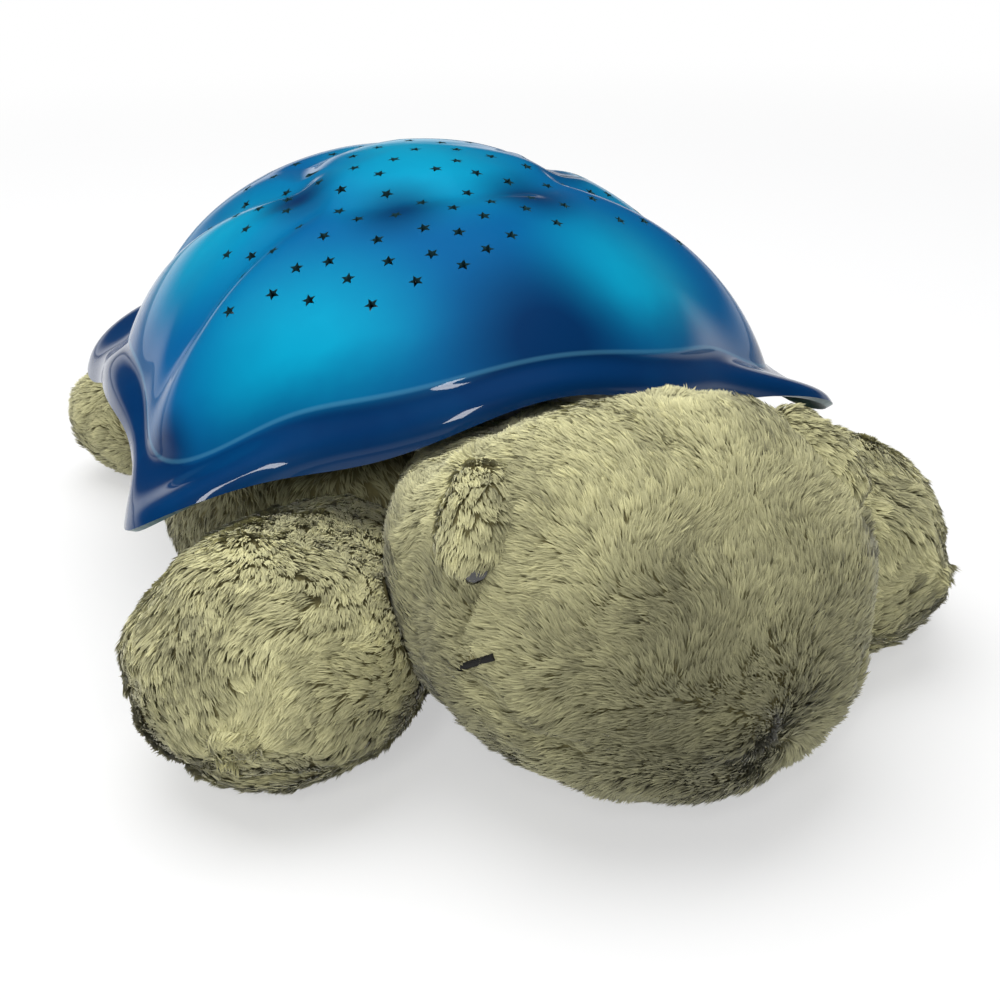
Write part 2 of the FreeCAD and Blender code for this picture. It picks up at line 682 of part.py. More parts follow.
for side, word in ((-1, "right"), (1, "left")):
    hit, normal = on_head(side, size("eye_back"), size("eye_level"))
    radius = size("eye_radius")
    eye = Part.makeSphere(radius, hit - normal * (radius * 0.4)).cut(head_shape)
    node(solid("eye_" + word, eye), "eye_" + word)
    lid_middle, lid_normal = on_head(side, size("lid_back"), size("lid_level"))
    along_way = (hit - lid_middle).cross(lid_normal)
    along_way = lid_normal.cross(along_way)
    along_way.normalize()
    across_way = along_way.cross(lid_normal)
    reach, width, swelling = size("eyelid_radius"), size("eyelid_half_width"), size("eyelid_swelling")
    lid_profile = [(-1.0, 0.15), (-0.75, 0.62), (-0.3, 0.95), (0.3, 0.95), (0.75, 0.62), (1.0, 0.15)]
    lid = loft([ring(lid_middle + along_way * (reach * a), across_way, lid_normal, width * s, swelling * s)
                for a, s in lid_profile])
    for other in (head_shape, eye, flippers[word]):
        lid = lid.cut(other)
    node(solid("eyelid_" + word, max(lid.Solids, key=lambda piece: piece.Volume)), "eyelid_" + word)

mouth_points = [on_head(-1, size("mouth_back") + 2.2 * k, size("mouth_level") + 1.6 * k)[0]
                for k in (-2, 0, 2)]
mouth_path = Part.Wire(Part.Arc(*mouth_points).toShape())
first_edge = mouth_path.Edges[0]
mouth_start = Part.Circle(mouth_points[0], first_edge.tangentAt(first_edge.FirstParameter),
                          size("mouth_radius"))
mouth = mouth_path.makePipeShell([Part.Wire(mouth_start.toShape())], True, False)
mouth = mouth.cut(head_shape)
node(solid("mouth_stitch", max(mouth.Solids, key=lambda piece: piece.Volume)), "mouth_stitch")


# Levels of the housing, as expressions of the sheet

DOOR_TOP = "(bay_bottom + door_thickness)"
CELL_LEVEL = "(bay_bottom + door_thickness + pocket_gap + cell_diameter / 2)"
BAY_ROOF = "(bay_bottom + door_thickness + cell_diameter + 2 * pocket_gap)"
PAN_FLOOR = f"({BAY_ROOF} + housing_wall)"
DECK_TOP = "(deck_level + deck_thickness)"
BOARD_FOOT = f"({PAN_FLOOR} + standoff_height)"
BOARD_FACE = f"({BOARD_FOOT} + board_thickness)"
PAN_HEIGHT = f"(deck_level - {BAY_ROOF})"
SCREW_HOLE = "screw_radius + fit_gap"
POST_PLACES = [(sx, sy) for sx in (-1, 1) for sy in (-1, 1)]

# Housing: a deep pan with the battery bay under its floor
pan = rounded_plate("pan", "pan_length", "pan_width", "pan_corner", PAN_HEIGHT, BAY_ROOF)
bay = block("bay", "bay_length", "bay_width", f"{BAY_ROOF} - bay_bottom + housing_wall / 2", z="bay_bottom")
pan_hollow = rounded_plate("pan_hollow", "pan_length - 2 * housing_wall", "pan_width - 2 * housing_wall",
                           "pan_corner - housing_wall", f"{PAN_HEIGHT}", PAN_FLOOR)
bay_hollow = block("bay_hollow", "bay_length - 2 * housing_wall", "bay_width - 2 * housing_wall",
                   f"{BAY_ROOF} - bay_bottom", z="bay_bottom")
pan_shell = cut("pan_shell", fuse("pan_and_bay", [pan, bay]), [pan_hollow, bay_hollow])
posts = []
post_holes = []
for k, (sx, sy) in enumerate(POST_PLACES):
    spot = (f"{sx} * post_x", f"{sy} * post_y")
    posts.append(rod(f"post{k}", "post_radius", PAN_HEIGHT, *spot, BAY_ROOF))
    post_holes.append(rod(f"post_hole{k}", SCREW_HOLE, PAN_HEIGHT, *spot, BAY_ROOF))
    post_holes.append(rod(f"post_sink{k}", "screw_head_radius + button_gap", "counterbore_depth", *spot,
                          BAY_ROOF))
    spot = (f"{sx} * (main_board_length / 2 - 5)", f"{sy} * (main_board_width / 2 - 5)")
    posts.append(rod(f"standoff{k}", "standoff_radius", f"standoff_height + housing_wall / 2", *spot,
                     f"{PAN_FLOOR} - housing_wall / 2"))
node(cut("housing", fuse("pan_with_posts", [pan_shell] + posts), post_holes), "lower_housing")

# Battery door: a plate let into the bay's mouth, with a lip, held by one screw
door = block("door", "bay_length - 2 * housing_wall - 2 * fit_gap",
             "bay_width - 2 * housing_wall - 2 * fit_gap", "door_thickness", z="bay_bottom")
door_hole = rod("door_hole", SCREW_HOLE, "door_thickness", "bay_length / 2 - 5", "0", "bay_bottom")
node(cut("battery_door", door, [door_hole]), "battery_door")
door_screw_head = rod("door_screw_head", "screw_head_radius", "screw_head_height", "bay_length / 2 - 5", "0",
                      "bay_bottom - screw_head_height")
door_screw_shank = rod("door_screw_shank", "screw_radius", "door_thickness + 2", "bay_length / 2 - 5", "0",
                       "bay_bottom")
node(fuse("door_screw", [door_screw_head, door_screw_shank]), "door_screw")

# Three cells side by side, alternating, with plates at both ends and cone springs at their flat ends
cells, springs, plates = [], [], []
for k in (-1, 0, 1):
    way = -1 if k == 0 else 1
    reach = "((bay_length - 2 * housing_wall) / 2 - contact_thickness)"
    seat = f"{reach} - nub_height - cell_length - fit_gap"
    low = seat if way == 1 else f"-({reach}) + nub_height + fit_gap"
    across = f"{k} * cell_pitch"
    barrel = bind(doc.addObject("Part::Cylinder", f"cell_barrel{k + 1}"), Radius="cell_diameter / 2",
                  Height="cell_length")
    barrel.Placement = FreeCAD.Placement(Vector(), FreeCAD.Rotation(Y_AXIS, 90))
    place(barrel, low, across, CELL_LEVEL)
    nub = bind(doc.addObject("Part::Cylinder", f"cell_nub{k + 1}"), Radius="nub_diameter / 2",
               Height="nub_height")
    nub.Placement = FreeCAD.Placement(Vector(), FreeCAD.Rotation(Y_AXIS, 90))
    place(nub, f"{low} + cell_length" if way == 1 else f"{low} - nub_height", across, CELL_LEVEL)
    cells.append(fuse(f"cell{k + 1}", [barrel, nub]))
    free = f"(2 * {reach} - cell_length - nub_height - 2 * fit_gap)"
    spring_radius = ("cell_diameter / 3", "cell_diameter / 5")
    coil = bind(doc.addObject("Part::Cone", f"spring{k + 1}"), Radius1=spring_radius[way == -1],
                Radius2=spring_radius[way == 1], Height=free)
    coil.Placement = FreeCAD.Placement(Vector(), FreeCAD.Rotation(Y_AXIS, 90))
    place(coil, f"-({reach})" if way == 1 else f"{reach} - {free}", across, CELL_LEVEL)
    springs.append(coil)
    for end in (-1, 1):
        plates.append(block(f"contact{k + 1}{end + 1}", "contact_thickness", "contact_width",
                            "contact_width", f"{end} * ({reach} + contact_thickness / 2)", across,
                            f"{CELL_LEVEL} - contact_width / 2"))
node(group("cells", cells), "aa_cells")
node(group("contact_springs", springs), "contact_springs")
node(group("contact_plates", plates), "contact_plates")

# Deck: the disc that closes the housing and carries the lamp, with screw bosses above it
deck = rod("deck_disc", "deck_radius", "deck_thickness", z="deck_level")
deck_bosses = []
deck_holes = []
for k, (sx, sy) in enumerate(POST_PLACES):
    spot = (f"{sx} * post_x", f"{sy} * post_y")
    deck_bosses.append(rod(f"deck_boss{k}", "post_radius - 1", "deck_boss_height", *spot, DECK_TOP))
    deck_holes.append(rod(f"deck_hole{k}", SCREW_HOLE, "deck_thickness + deck_boss_height", *spot,
                          "deck_level"))
    spot = (f"{sx} * boss_x", f"{sy} * boss_y")
    deck_holes.append(rod(f"boss_hole{k}", SCREW_HOLE, "deck_thickness", *spot, "deck_level"))
deck_holes.append(rod("wire_pass", "2 * wire_radius + 0.4", "deck_thickness", "0", "reflector_outer + 6",
                      "deck_level"))
deck_holes.append(rod("lamp_wire_pass", "2 * wire_radius + 0.4", "deck_thickness", "0", "0", "deck_level"))
node(cut("deck_plate", fuse("deck_body", [deck] + deck_bosses), deck_holes), "deck")

housing_screws, shell_screws = [], []
for k, (sx, sy) in enumerate(POST_PLACES):
    spot = (f"{sx} * post_x", f"{sy} * post_y")
    shoulder = f"({BAY_ROOF} + counterbore_depth)"
    head = rod(f"housing_screw_head{k}", "screw_head_radius", "screw_head_height", *spot,
               f"{shoulder} - screw_head_height")
    shank = rod(f"housing_screw_shank{k}", "screw_radius", f"{DECK_TOP} + deck_boss_height - 1 - {shoulder}",
                *spot, shoulder)
    housing_screws.append(fuse(f"housing_screw{k}", [head, shank]))
    spot = (f"{sx} * boss_x", f"{sy} * boss_y")
    head = rod(f"shell_screw_head{k}", "screw_head_radius", "screw_head_height", *spot,
               "deck_level - screw_head_height")
    shank = rod(f"shell_screw_shank{k}", "screw_radius", "deck_thickness + boss_screw_reach", *spot,
                "deck_level")
    shell_screws.append(fuse(f"shell_screw{k}", [head, shank]))
node(group("housing_screws", housing_screws), "housing_screws")
node(group("shell_screws", shell_screws), "shell_screws")

# Main board on its standoffs, with the timer chip and two capacitors
node(rounded_plate("main_board", "main_board_length", "main_board_width", "3", "board_thickness", BOARD_FOOT),
     "main_board")
node(block("timer_chip", "chip_side", "chip_side", "chip_height", "12", "10", BOARD_FACE), "timer_chip")
node(group("capacitors", [rod(f"capacitor{k}", "capacitor_radius", "capacitor_height", "-16",
                              f"{k} * 8", BOARD_FACE) for k in (-1, 1)]), "capacitors")

# Lamp: its board, three coloured lamps, a clear lens and a reflector
node(cut("lamp_board_disc", rod("lamp_disc", "lamp_board_radius", "board_thickness", z=DECK_TOP),
         [rod("lamp_disc_hole", "2 * wire_radius + 0.4", "board_thickness", z=DECK_TOP)]), "lamp_board")
LAMP_FACE = f"({DECK_TOP} + board_thickness)"
for k, colour in enumerate(("blue", "green", "amber")):
    turn = math.radians(360 * k / 3 + 90)
    spot = (f"led_circle * {math.cos(turn):.4f}", f"led_circle * {math.sin(turn):.4f}")
    stem = rod(f"led_{colour}_barrel", "led_radius", "led_height - led_radius", *spot, LAMP_FACE)
    bulb = bind(doc.addObject("Part::Sphere", f"led_{colour}_dome"), Radius="led_radius")
    place(bulb, *spot, f"{LAMP_FACE} + led_height - led_radius")
    node(fuse(f"led_{colour}", [stem, bulb]), f"led_{colour}")


def lens_form(name, radius, height):
    barrel = rod(name + "_barrel", radius, height, z=LAMP_FACE)
    top = bind(doc.addObject("Part::Sphere", name + "_dome"), Radius=radius)
    place(top, z=f"{LAMP_FACE} + {height}")
    return fuse(name, [barrel, top])


node(cut("lens", lens_form("lens_out", "lens_radius", "lens_height"),
         [lens_form("lens_in", "(lens_radius - lens_wall)", "lens_height"),
          block("lens_trim", "60", "60", "40", z=f"{LAMP_FACE} - 40")]), "clear_lens")
reflector_out = cone("reflector_out", "reflector_inner + reflector_wall", "reflector_outer",
                     "reflector_height", z=DECK_TOP)
reflector_in = cone("reflector_in", "reflector_inner", "reflector_outer - reflector_wall",
                    "reflector_height", z=DECK_TOP)
node(cut("reflector_cone", reflector_out, [reflector_in]), "reflector")

# Button row on the rear: caps that slide through the shell onto switches on a tilted board
for k, word in enumerate(BUTTON_NAMES):
    reach = dome_reach(button_offset(k))
    flange_top = reach - size("shell_wall") - size("flange_drop")
    switch_top = size("switch_height") + size("plunger_height")
    stem_foot = switch_top + size("button_travel") + size("fit_gap")
    top = reach + size("button_stand")
    cap = disc(size("button_radius"), top - flange_top + size("flange_thickness"),
               flange_top - size("flange_thickness"))
    flange = disc(size("flange_radius"), size("flange_thickness"), flange_top - size("flange_thickness"))
    cap = cap.fuse(flange)
    cap = cap.fuse(disc(size("stem_radius"), flange_top - stem_foot, stem_foot))
    cap = cap.makeFillet(size("button_rounding"), [e for e in cap.Edges if e.BoundBox.ZMin > top - 0.01])
    node(solid("button_" + word, tilted(cap, button_offset(k))), "button_" + word)

switches = []
for k in range(len(BUTTON_NAMES)):
    switch = plate(size("switch_side"), size("switch_side"), size("switch_height"))
    switch = switch.fuse(disc(size("plunger_radius"), size("plunger_height"), size("switch_height")))
    switches.append(tilted(switch, button_offset(k)))
node(solid("tact_switches", Part.makeCompound(switches)), "tact_switches")
node(solid("button_board", tilted(plate(size("button_board_length"), size("button_board_width"),
                                        size("board_thickness"), -size("board_thickness")))), "button_board")

# Bracket: two legs from the deck to the tilted board's underside, joined by a foot
bracket_top = BOARD_TOP - BUTTON_OUT * size("board_thickness")
deck_top_level = size("deck_level") + size("deck_thickness")
legs = []
for side in (-1, 1):
    leg = plate(size("bracket_wall"), size("button_board_width") - 2, 60)
    leg.translate(Vector(side * size("bracket_width") / 2, bracket_top.y, deck_top_level))
    legs.append(leg)
foot = plate(size("bracket_width"), size("button_board_width") - 2, size("bracket_wall"))
foot.translate(Vector(0, bracket_top.y, deck_top_level))
bracket = foot.fuse(legs[0]).fuse(legs[1])
above = plate(120, 120, 80)
above.Placement = FreeCAD.Placement(bracket_top, BUTTON_TURN)
node(solid("button_bracket", bracket.cut(above)), "button_bracket")

# Belly flap: a soft panel that closes the pocket, with hook and loop strips at its free edge
flap = block("flap_panel", "flap_length", "flap_width", "flap_thickness", z="flap_floor_gap")
doc.recompute()
flap_edges = [(i, 1.5, 1.5) for i, e in enumerate(flap.Shape.Edges, start=1)
              if abs(e.tangentAt(e.FirstParameter).x) > 0.99 and e.CenterOfMass.y < 0]
rounded = doc.addObject("Part::Fillet", "flap_rounded")
rounded.Base = flap
rounded.Edges = flap_edges
node(rounded, "belly_flap")
FLAP_TOP = "(flap_floor_gap + flap_thickness)"
STRIP_Y = "(flap_width / 2 - strip_width / 2 - 0.6)"
node(block("hook_strip", "strip_length", "strip_width", "strip_thickness", "0", STRIP_Y, FLAP_TOP),
     "hook_strip")
node(block("loop_strip", "strip_length", "strip_width", "strip_thickness", "0", STRIP_Y,
           f"{FLAP_TOP} + strip_thickness + fit_gap"), "loop_strip")


def wire_run(points, radius):
    """A wire: straight runs joined by arcs as large as the runs allow."""
    edges = []
    start = points[0]
    for before, corner, after in zip(points, points[1:], points[2:]):
        come, leave = corner - before, after - corner
        turn = come.getAngle(leave)
        shorter = min(come.Length, leave.Length)
        bend = 0.45 * shorter / math.tan(turn / 2)
        step = bend * math.tan(turn / 2)
        come.normalize()
        leave.normalize()
        first, last = corner - come * step, corner + leave * step
        inward = leave - come
        inward.normalize()
        middle = corner + inward * (bend / math.cos(turn / 2) - bend)
        edges.append(Part.LineSegment(start, first).toShape())
        edges.append(Part.Arc(first, middle, last).toShape())
        start = last
    edges.append(Part.LineSegment(start, points[-1]).toShape())
    path = Part.Wire(edges)
    heading = points[1] - points[0]
    section = Part.Wire(Part.Circle(points[0], heading, radius).toShape())
    return path.makePipeShell([section], True, False)


board_face = size("bay_bottom") + size("door_thickness") + size("cell_diameter") + 2 * size("pocket_gap")
board_face += size("housing_wall") + size("standoff_height") + size("board_thickness")
lamp_foot = size("deck_level") + size("deck_thickness") + size("board_thickness")
lamp_route = [Vector(0, -18, board_face), Vector(0, -18, board_face + 16), Vector(0, 0, board_face + 26),
              Vector(0, 0, lamp_foot)]
node(solid("lamp_wires", wire_run(lamp_route, size("wire_radius"))), "lamp_wires")
pass_y = size("reflector_outer") + 6
button_route = [Vector(0, 22, board_face), Vector(0, 22, board_face + 12),
                Vector(0, pass_y, board_face + 24), Vector(0, pass_y, deck_top_level + 16),
                bracket_top - BUTTON_OUT * 12, bracket_top]
node(solid("button_wires", wire_run(button_route, size("wire_radius"))), "button_wires")

doc.recompute()
for feature in doc.Objects:
    if "Invalid" in feature.State or "Error" in feature.State:
        raise RuntimeError(f"{feature.Name} failed: {feature.State}")
for part in NODES:
    if part.Shape.isNull() or not part.Shape.isValid():
        raise RuntimeError(f"{part.Label} has no valid shape")

os.makedirs("parts", exist_ok=True)
for part in NODES:
    part.Shape.exportStep(f"parts/{part.Label}.step")
    print(part.Label, len(part.Shape.Solids), round(part.Shape.Volume))
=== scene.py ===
# %% [markdown]
# # A plush turtle night light
# The turtle has a hard, glossy shell pierced by stars, and a stuffed body, head and flippers.
# The CAD model gives every piece its place and size, in metres, with the floor at z = 0.
# The turtle faces -Y. This lesson dresses each piece: painted shell, short pile, lids, buttons.

# %% Load the frame
import json
import math

import bpy
import numpy as np
from mathutils import Matrix, Vector
from mathutils.bvhtree import BVHTree
from mathutils.kdtree import KDTree

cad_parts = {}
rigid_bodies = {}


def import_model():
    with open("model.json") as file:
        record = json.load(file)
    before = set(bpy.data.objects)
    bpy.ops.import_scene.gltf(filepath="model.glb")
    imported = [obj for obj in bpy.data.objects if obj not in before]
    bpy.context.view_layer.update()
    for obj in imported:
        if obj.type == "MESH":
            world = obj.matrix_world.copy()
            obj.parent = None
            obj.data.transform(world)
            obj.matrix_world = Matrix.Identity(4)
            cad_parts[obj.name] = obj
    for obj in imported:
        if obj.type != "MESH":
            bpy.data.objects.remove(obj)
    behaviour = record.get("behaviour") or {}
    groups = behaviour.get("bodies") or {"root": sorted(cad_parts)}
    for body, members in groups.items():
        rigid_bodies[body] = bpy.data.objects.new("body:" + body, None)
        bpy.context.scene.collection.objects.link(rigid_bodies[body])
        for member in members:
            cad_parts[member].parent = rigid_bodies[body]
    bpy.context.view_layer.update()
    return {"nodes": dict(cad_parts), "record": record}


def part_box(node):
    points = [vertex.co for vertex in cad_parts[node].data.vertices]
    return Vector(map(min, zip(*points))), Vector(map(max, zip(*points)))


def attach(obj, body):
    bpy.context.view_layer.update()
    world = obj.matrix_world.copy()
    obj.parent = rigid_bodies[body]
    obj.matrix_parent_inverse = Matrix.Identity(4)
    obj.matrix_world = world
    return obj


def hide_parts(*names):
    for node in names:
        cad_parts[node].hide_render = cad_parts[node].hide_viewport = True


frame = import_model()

MM = 0.001
BODY = "turtle"
scene = bpy.context.scene
scene.view_settings.view_transform = "Standard"


def add_object(name, data):
    """An object in the scene that holds a mesh, a lamp or a camera."""
    made = bpy.data.objects.new(name, data)
    scene.collection.objects.link(made)
    return made


# %% [markdown]
# ## Camera
# The photograph was taken from the front right of the turtle, a little above it. Where the brim
# and the crease of the shell lie in the picture gave the camera's place, its slight roll and lens.

# %% Camera
CAMERA_AZIMUTH = math.radians(-21.32)
CAMERA_ELEVATION = math.radians(24.34)
CAMERA_ROLL = math.radians(-1.43)
CAMERA_DISTANCE = 564.95 * MM
CAMERA_TARGET = Vector((34.4, 18.51, -0.98)) * MM
SENSOR_WIDTH = 36.0
FOCAL_LENGTH = 1.45412 * SENSOR_WIDTH

camera = add_object("camera", bpy.data.cameras.new("camera"))
back = Vector((math.sin(CAMERA_AZIMUTH) * math.cos(CAMERA_ELEVATION),
               -math.cos(CAMERA_AZIMUTH) * math.cos(CAMERA_ELEVATION),
               math.sin(CAMERA_ELEVATION)))
level_right = Vector((math.cos(CAMERA_AZIMUTH), math.sin(CAMERA_AZIMUTH), 0))
level_up = back.cross(level_right)
right = level_right * math.cos(CAMERA_ROLL) + level_up * math.sin(CAMERA_ROLL)
up = level_up * math.cos(CAMERA_ROLL) - level_right * math.sin(CAMERA_ROLL)
camera.matrix_world = Matrix.Translation(CAMERA_TARGET + back * CAMERA_DISTANCE) @ Matrix(
    (right, up, back)).transposed().to_4x4()
camera.data.sensor_width = SENSOR_WIDTH
camera.data.lens = FOCAL_LENGTH
camera.data.clip_start = 0.01
scene.camera = camera
print("camera at", [round(v, 3) for v in camera.matrix_world.translation])

# %% [markdown]
# ## Shader maths
# A material is a small program on values that vary over the surface. Wrapping a socket in a class
# with + - * / lets that program be written as plain expressions. Colours and vectors go through
# Mix and Vector Math, because a Math node would turn a colour grey.

# %% A wrapper for sockets


class Flow:
    """A value, colour or vector on its way through a material's nodes."""

    def __init__(self, tree, socket):
        self.tree = tree
        self.socket = socket

    def node(self, kind, settings=(), inputs=(), output=0):
        """Any node: its type, its settings, then the values or links of its sockets."""
        made = self.tree.nodes.new(kind)
        for name, value in dict(settings).items():
            setattr(made, name, value)
        for name, value in dict(inputs).items():
            if isinstance(value, Flow):
                self.tree.links.new(value.socket, made.inputs[name])
            else:
                made.inputs[name].default_value = value
        return Flow(self.tree, made.outputs[output])

    def math(self, operation, *values):
        return self.node("ShaderNodeMath", {"operation": operation}, enumerate(values))

    def __add__(self, other):
        return self.math("ADD", self, other)

    def __sub__(self, other):
        return self.math("SUBTRACT", self, other)

    def __rsub__(self, other):
        return self.math("SUBTRACT", other, self)

    def __mul__(self, other):
        return self.math("MULTIPLY", self, other)

    __radd__ = __add__
    __rmul__ = __mul__

    def smooth(self, low, high):
        """0 below low, 1 above high, and a soft step between; low may be the larger."""
        return self.node("ShaderNodeMapRange", {"interpolation_type": "SMOOTHSTEP"},
                         {"Value": self, "From Min": low, "From Max": high})

    def vector(self, operation, *values, output=0):
        return self.node("ShaderNodeVectorMath", {"operation": operation},
                         enumerate(values), output)

    def noise(self, scale, detail=2.0, roughness=0.5):
        """Cloudy noise at this place, about 0.5 on average; scale is in clouds per metre."""
        return self.node("ShaderNodeTexNoise", {}, {
            "Vector": self, "Scale": scale, "Detail": detail, "Roughness": roughness})

    def mix(self, first, second):
        """The first colour where this value is 0, the second where it is 1."""
        return self.node("ShaderNodeMix", {"data_type": "RGBA"}, {0: self, 6: first, 7: second}, 2)

    def bump(self, strength, distance):
        return self.node("ShaderNodeBump", {}, {
            "Height": self, "Strength": strength, "Distance": distance})


def rgb(red, green, blue):
    """A colour as the eye reads it, 0 to 255, turned into the linear values that Blender wants."""
    def linear(value):
        share = value / 255
        return share / 12.92 if share <= 0.04045 else ((share + 0.055) / 1.055) ** 2.4
    return (linear(red), linear(green), linear(blue), 1.0)


def new_material(name, **settings):
    """A material with one Principled shader: fixed numbers go straight on its sockets."""
    made = bpy.data.materials.new(name)
    made.use_nodes = True
    shader = made.node_tree.nodes["Principled BSDF"]
    for label, value in settings.items():
        shader.inputs[label.replace("_", " ")].default_value = value
    place = made.node_tree.nodes.new("ShaderNodeTexCoord")
    return made, shader, Flow(made.node_tree, place.outputs["Object"])


def feed(shader, label, flow):
    """Link a varying value to one of the shader's sockets."""
    flow.tree.links.new(flow.socket, shader.inputs[label])


print("shader helpers ready")

# %% [markdown]
# ## The shell's shape
# The dome is a cap of a ball stretched over a ring that bulges at four corners. Below its crease a
# cove sweeps out to a lip that rolls over and down. Soft valleys part it into five fields. One
# formula gives a point for each angle round the dome, so the mesh is a clean grid of quads.

# %% Rings of the shell


def swing(angle, front, side, rear):
    """A value that runs smoothly from the front through the sides to the rear."""
    turn = np.radians(angle)
    ends = (front + rear) / 2
    return ((ends + side) / 2 + (front - rear) / 2 * np.cos(turn)
            + (ends - side) / 2 * np.cos(2 * turn))


def swell(angle, at, spread):
    """A smooth bump at an angle on both sides of the turtle."""
    def bump(centre):
        return np.exp(-((((angle - centre + 180) % 360) - 180) / spread) ** 2)
    return bump(at) if at == 0 else bump(at) + bump(-at)


def brim_edge(angle):
    """Reach and level of the brim's edge: front and rear corners, an arch over the neck, droops."""
    reach = swing(angle, 119, 109, 118) + 28 * swell(angle, 54, 12) + 17 * swell(angle, 126, 14)
    level = (swing(angle, 73, 70, 74) + 20 * swell(angle, 0, 22) - 16 * swell(angle, 61, 11)
             - 12 * swell(angle, 119, 14))
    return reach, level


def crease(angle):
    """Reach and level of the crease, where the dome meets the brim."""
    reach = swing(angle, 111, 99, 108) + 15 * swell(angle, 59, 13) + 4 * swell(angle, 126, 14)
    level = (swing(angle, 92, 85, 86) + 10 * swell(angle, 0, 22) - 18 * swell(angle, 59, 16)
             - 8 * swell(angle, 122, 14))
    return reach, level


print("a front corner of the brim reaches", round(float(brim_edge(54.0)[0]), 1), "mm")

# %% Valleys between the fields
CORNER_VALLEYS = [[(43, -27), (70, -33), (103, -41)], [(43, -2), (60, 17), (91, 61)]]
CROWN_VALLEY = [(0, -46), (24, -41), (43, -27), (45, -12), (43, -2), (32, 18), (0, 30)]
VALLEY_SPREAD = 8.0
VALLEY_DEPTH = 4.0
CROWN_DEPTH = 2.6


def line_distance(points, line):
    """Distance from points to a line of straight runs, in the plan or in space."""
    best = np.full(points.shape[:-1], 1e9)
    for start, run in zip(line, np.diff(line, axis=0)):
        t = np.clip((points - start) @ run / (run @ run), 0, 1)
        best = np.minimum(best, np.linalg.norm(points - start - t[..., None] * run, axis=-1))
    return best


def valley(points, share):
    """How far the skin dips at its points; share is 0 at the crease and 1 at the top."""
    plan = np.stack([np.abs(points[..., 0]), points[..., 1]], -1)
    corner_depth = VALLEY_DEPTH * np.minimum(1, share / 0.3)
    dips = [(path, corner_depth) for path in CORNER_VALLEYS] + [(CROWN_VALLEY, CROWN_DEPTH)]
    return np.maximum.reduce([depth * np.exp(-(line_distance(plan, path) / VALLEY_SPREAD) ** 2)
                              for path, depth in dips])


print("valleys:", 2 * len(CORNER_VALLEYS), "to the corners and one round the crown")

# %% Points of the dome and the brim
BASE_LEVEL = 44.0
RISE = 98.0


def around(angle, radius, level):
    """A point at an angle from the front, a reach from the middle and a level."""
    turn = np.radians(angle)
    return np.stack(np.broadcast_arrays(radius * np.sin(turn), -radius * np.cos(turn), level), -1)


def dome_point(angle, share):
    """A point of the dome: share 0 is the crease, 1 the top."""
    reach, level = crease(angle)
    start = np.arcsin((level - BASE_LEVEL) / RISE)
    lift = start + (np.pi / 2 - start) * share
    return around(angle, reach * np.cos(lift) / np.cos(start), BASE_LEVEL + RISE * np.sin(lift))


def brim_point(angle, share):
    """A point of the brim: share 0 is the crease, 1 the edge."""
    inner_reach, inner_level = crease(angle)
    outer_reach, outer_level = brim_edge(angle)
    out = share - np.sin(2 * np.pi * share) / (4 * np.pi)
    down = 0.35 * (1 - (1 - share) ** 3) + 0.65 * share ** 3
    return around(angle, inner_reach + (outer_reach - inner_reach) * out,
                  inner_level + (outer_level - inner_level) * down)


def unit(vectors):
    """Vectors of the same ways with a length of 1."""
    return vectors / np.maximum(np.linalg.norm(vectors, axis=-1, keepdims=True), 1e-9)


def grid_normals(grid):
    """Outward normals of a grid of points whose columns run round a closed form."""
    round_way = np.roll(grid, -1, axis=1) - np.roll(grid, 1, axis=1)
    normals = unit(np.cross(round_way, np.gradient(grid, axis=0)))
    outward = ((grid - grid.mean(axis=1, keepdims=True)) * normals).sum(-1).mean()
    return normals * np.sign(outward)


print("top of the dome at", BASE_LEVEL + RISE, "mm")

# %% [markdown]
# ## The shell's grid
# Rows run from the top down to the crease and on to the brim's edge. Averaging each row with its
# neighbours turns the crease into a small fillet. The inside is the same grid moved in by the wall.

# %% Build the grid of the shell
COLUMNS = 300
DOME_ROWS = 100
BRIM_ROWS = 40
WALL = 2.4
TOP_SHARE = 0.985

angles = (np.arange(COLUMNS) * 360 / COLUMNS)[None, :]
dome_shares = np.linspace(TOP_SHARE, 0, DOME_ROWS)[:, None]
brim_shares = np.linspace(0, 1, BRIM_ROWS)[1:, None]
dome = dome_point(angles, dome_shares)
dome -= grid_normals(dome) * valley(dome, dome_shares)[..., None]
profile = np.concatenate([dome, brim_point(angles, brim_shares)])


def soften(points, times):
    """Average each row with its neighbours; the first and last rows stay."""
    for again in range(times):
        points[1:-1] = (points[:-2] + 2 * points[1:-1] + points[2:]) / 4
    return points


profile = soften(profile, 2)
outer_normals = grid_normals(profile)
inner = profile - outer_normals * WALL
steps = np.linalg.norm(np.diff(profile, axis=0), axis=-1)
down_skin = np.concatenate([np.zeros((1, COLUMNS)), np.cumsum(steps, axis=0)])
from_crease = down_skin[DOME_ROWS - 1] - down_skin
print("shell grid", profile.shape, "brim about", round(-from_crease[-1].mean()), "mm wide")

# %% Mesh helpers


def new_piece(name, points, faces, smooth=True, body=BODY):
    """A mesh object from points in millimetres, riding on a body."""
    mesh = bpy.data.meshes.new(name)
    faces = [list(map(int, face)) for face in faces]
    mesh.from_pydata((np.asarray(points) * MM).tolist(), [], faces)
    mesh.update()
    mesh.polygons.foreach_set("use_smooth", [smooth] * len(faces))
    piece = add_object(name, mesh)
    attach(piece, body)
    return piece


def ring_faces(rows, columns):
    """Quads between rows of points that close on themselves."""
    row, column = np.meshgrid(np.arange(rows - 1), np.arange(columns), indexing="ij")
    a = row * columns + column
    b = row * columns + (column + 1) % columns
    return np.stack([a, a + columns, b + columns, b], -1).reshape(-1, 4)


def end_rows(rows, columns):
    """The corners of the first and of the last row, as two faces that look opposite ways."""
    return list(range(columns)), list(range((rows - 1) * columns, rows * columns))[::-1]


print("two rows of three points make", len(ring_faces(2, 3)), "quads")

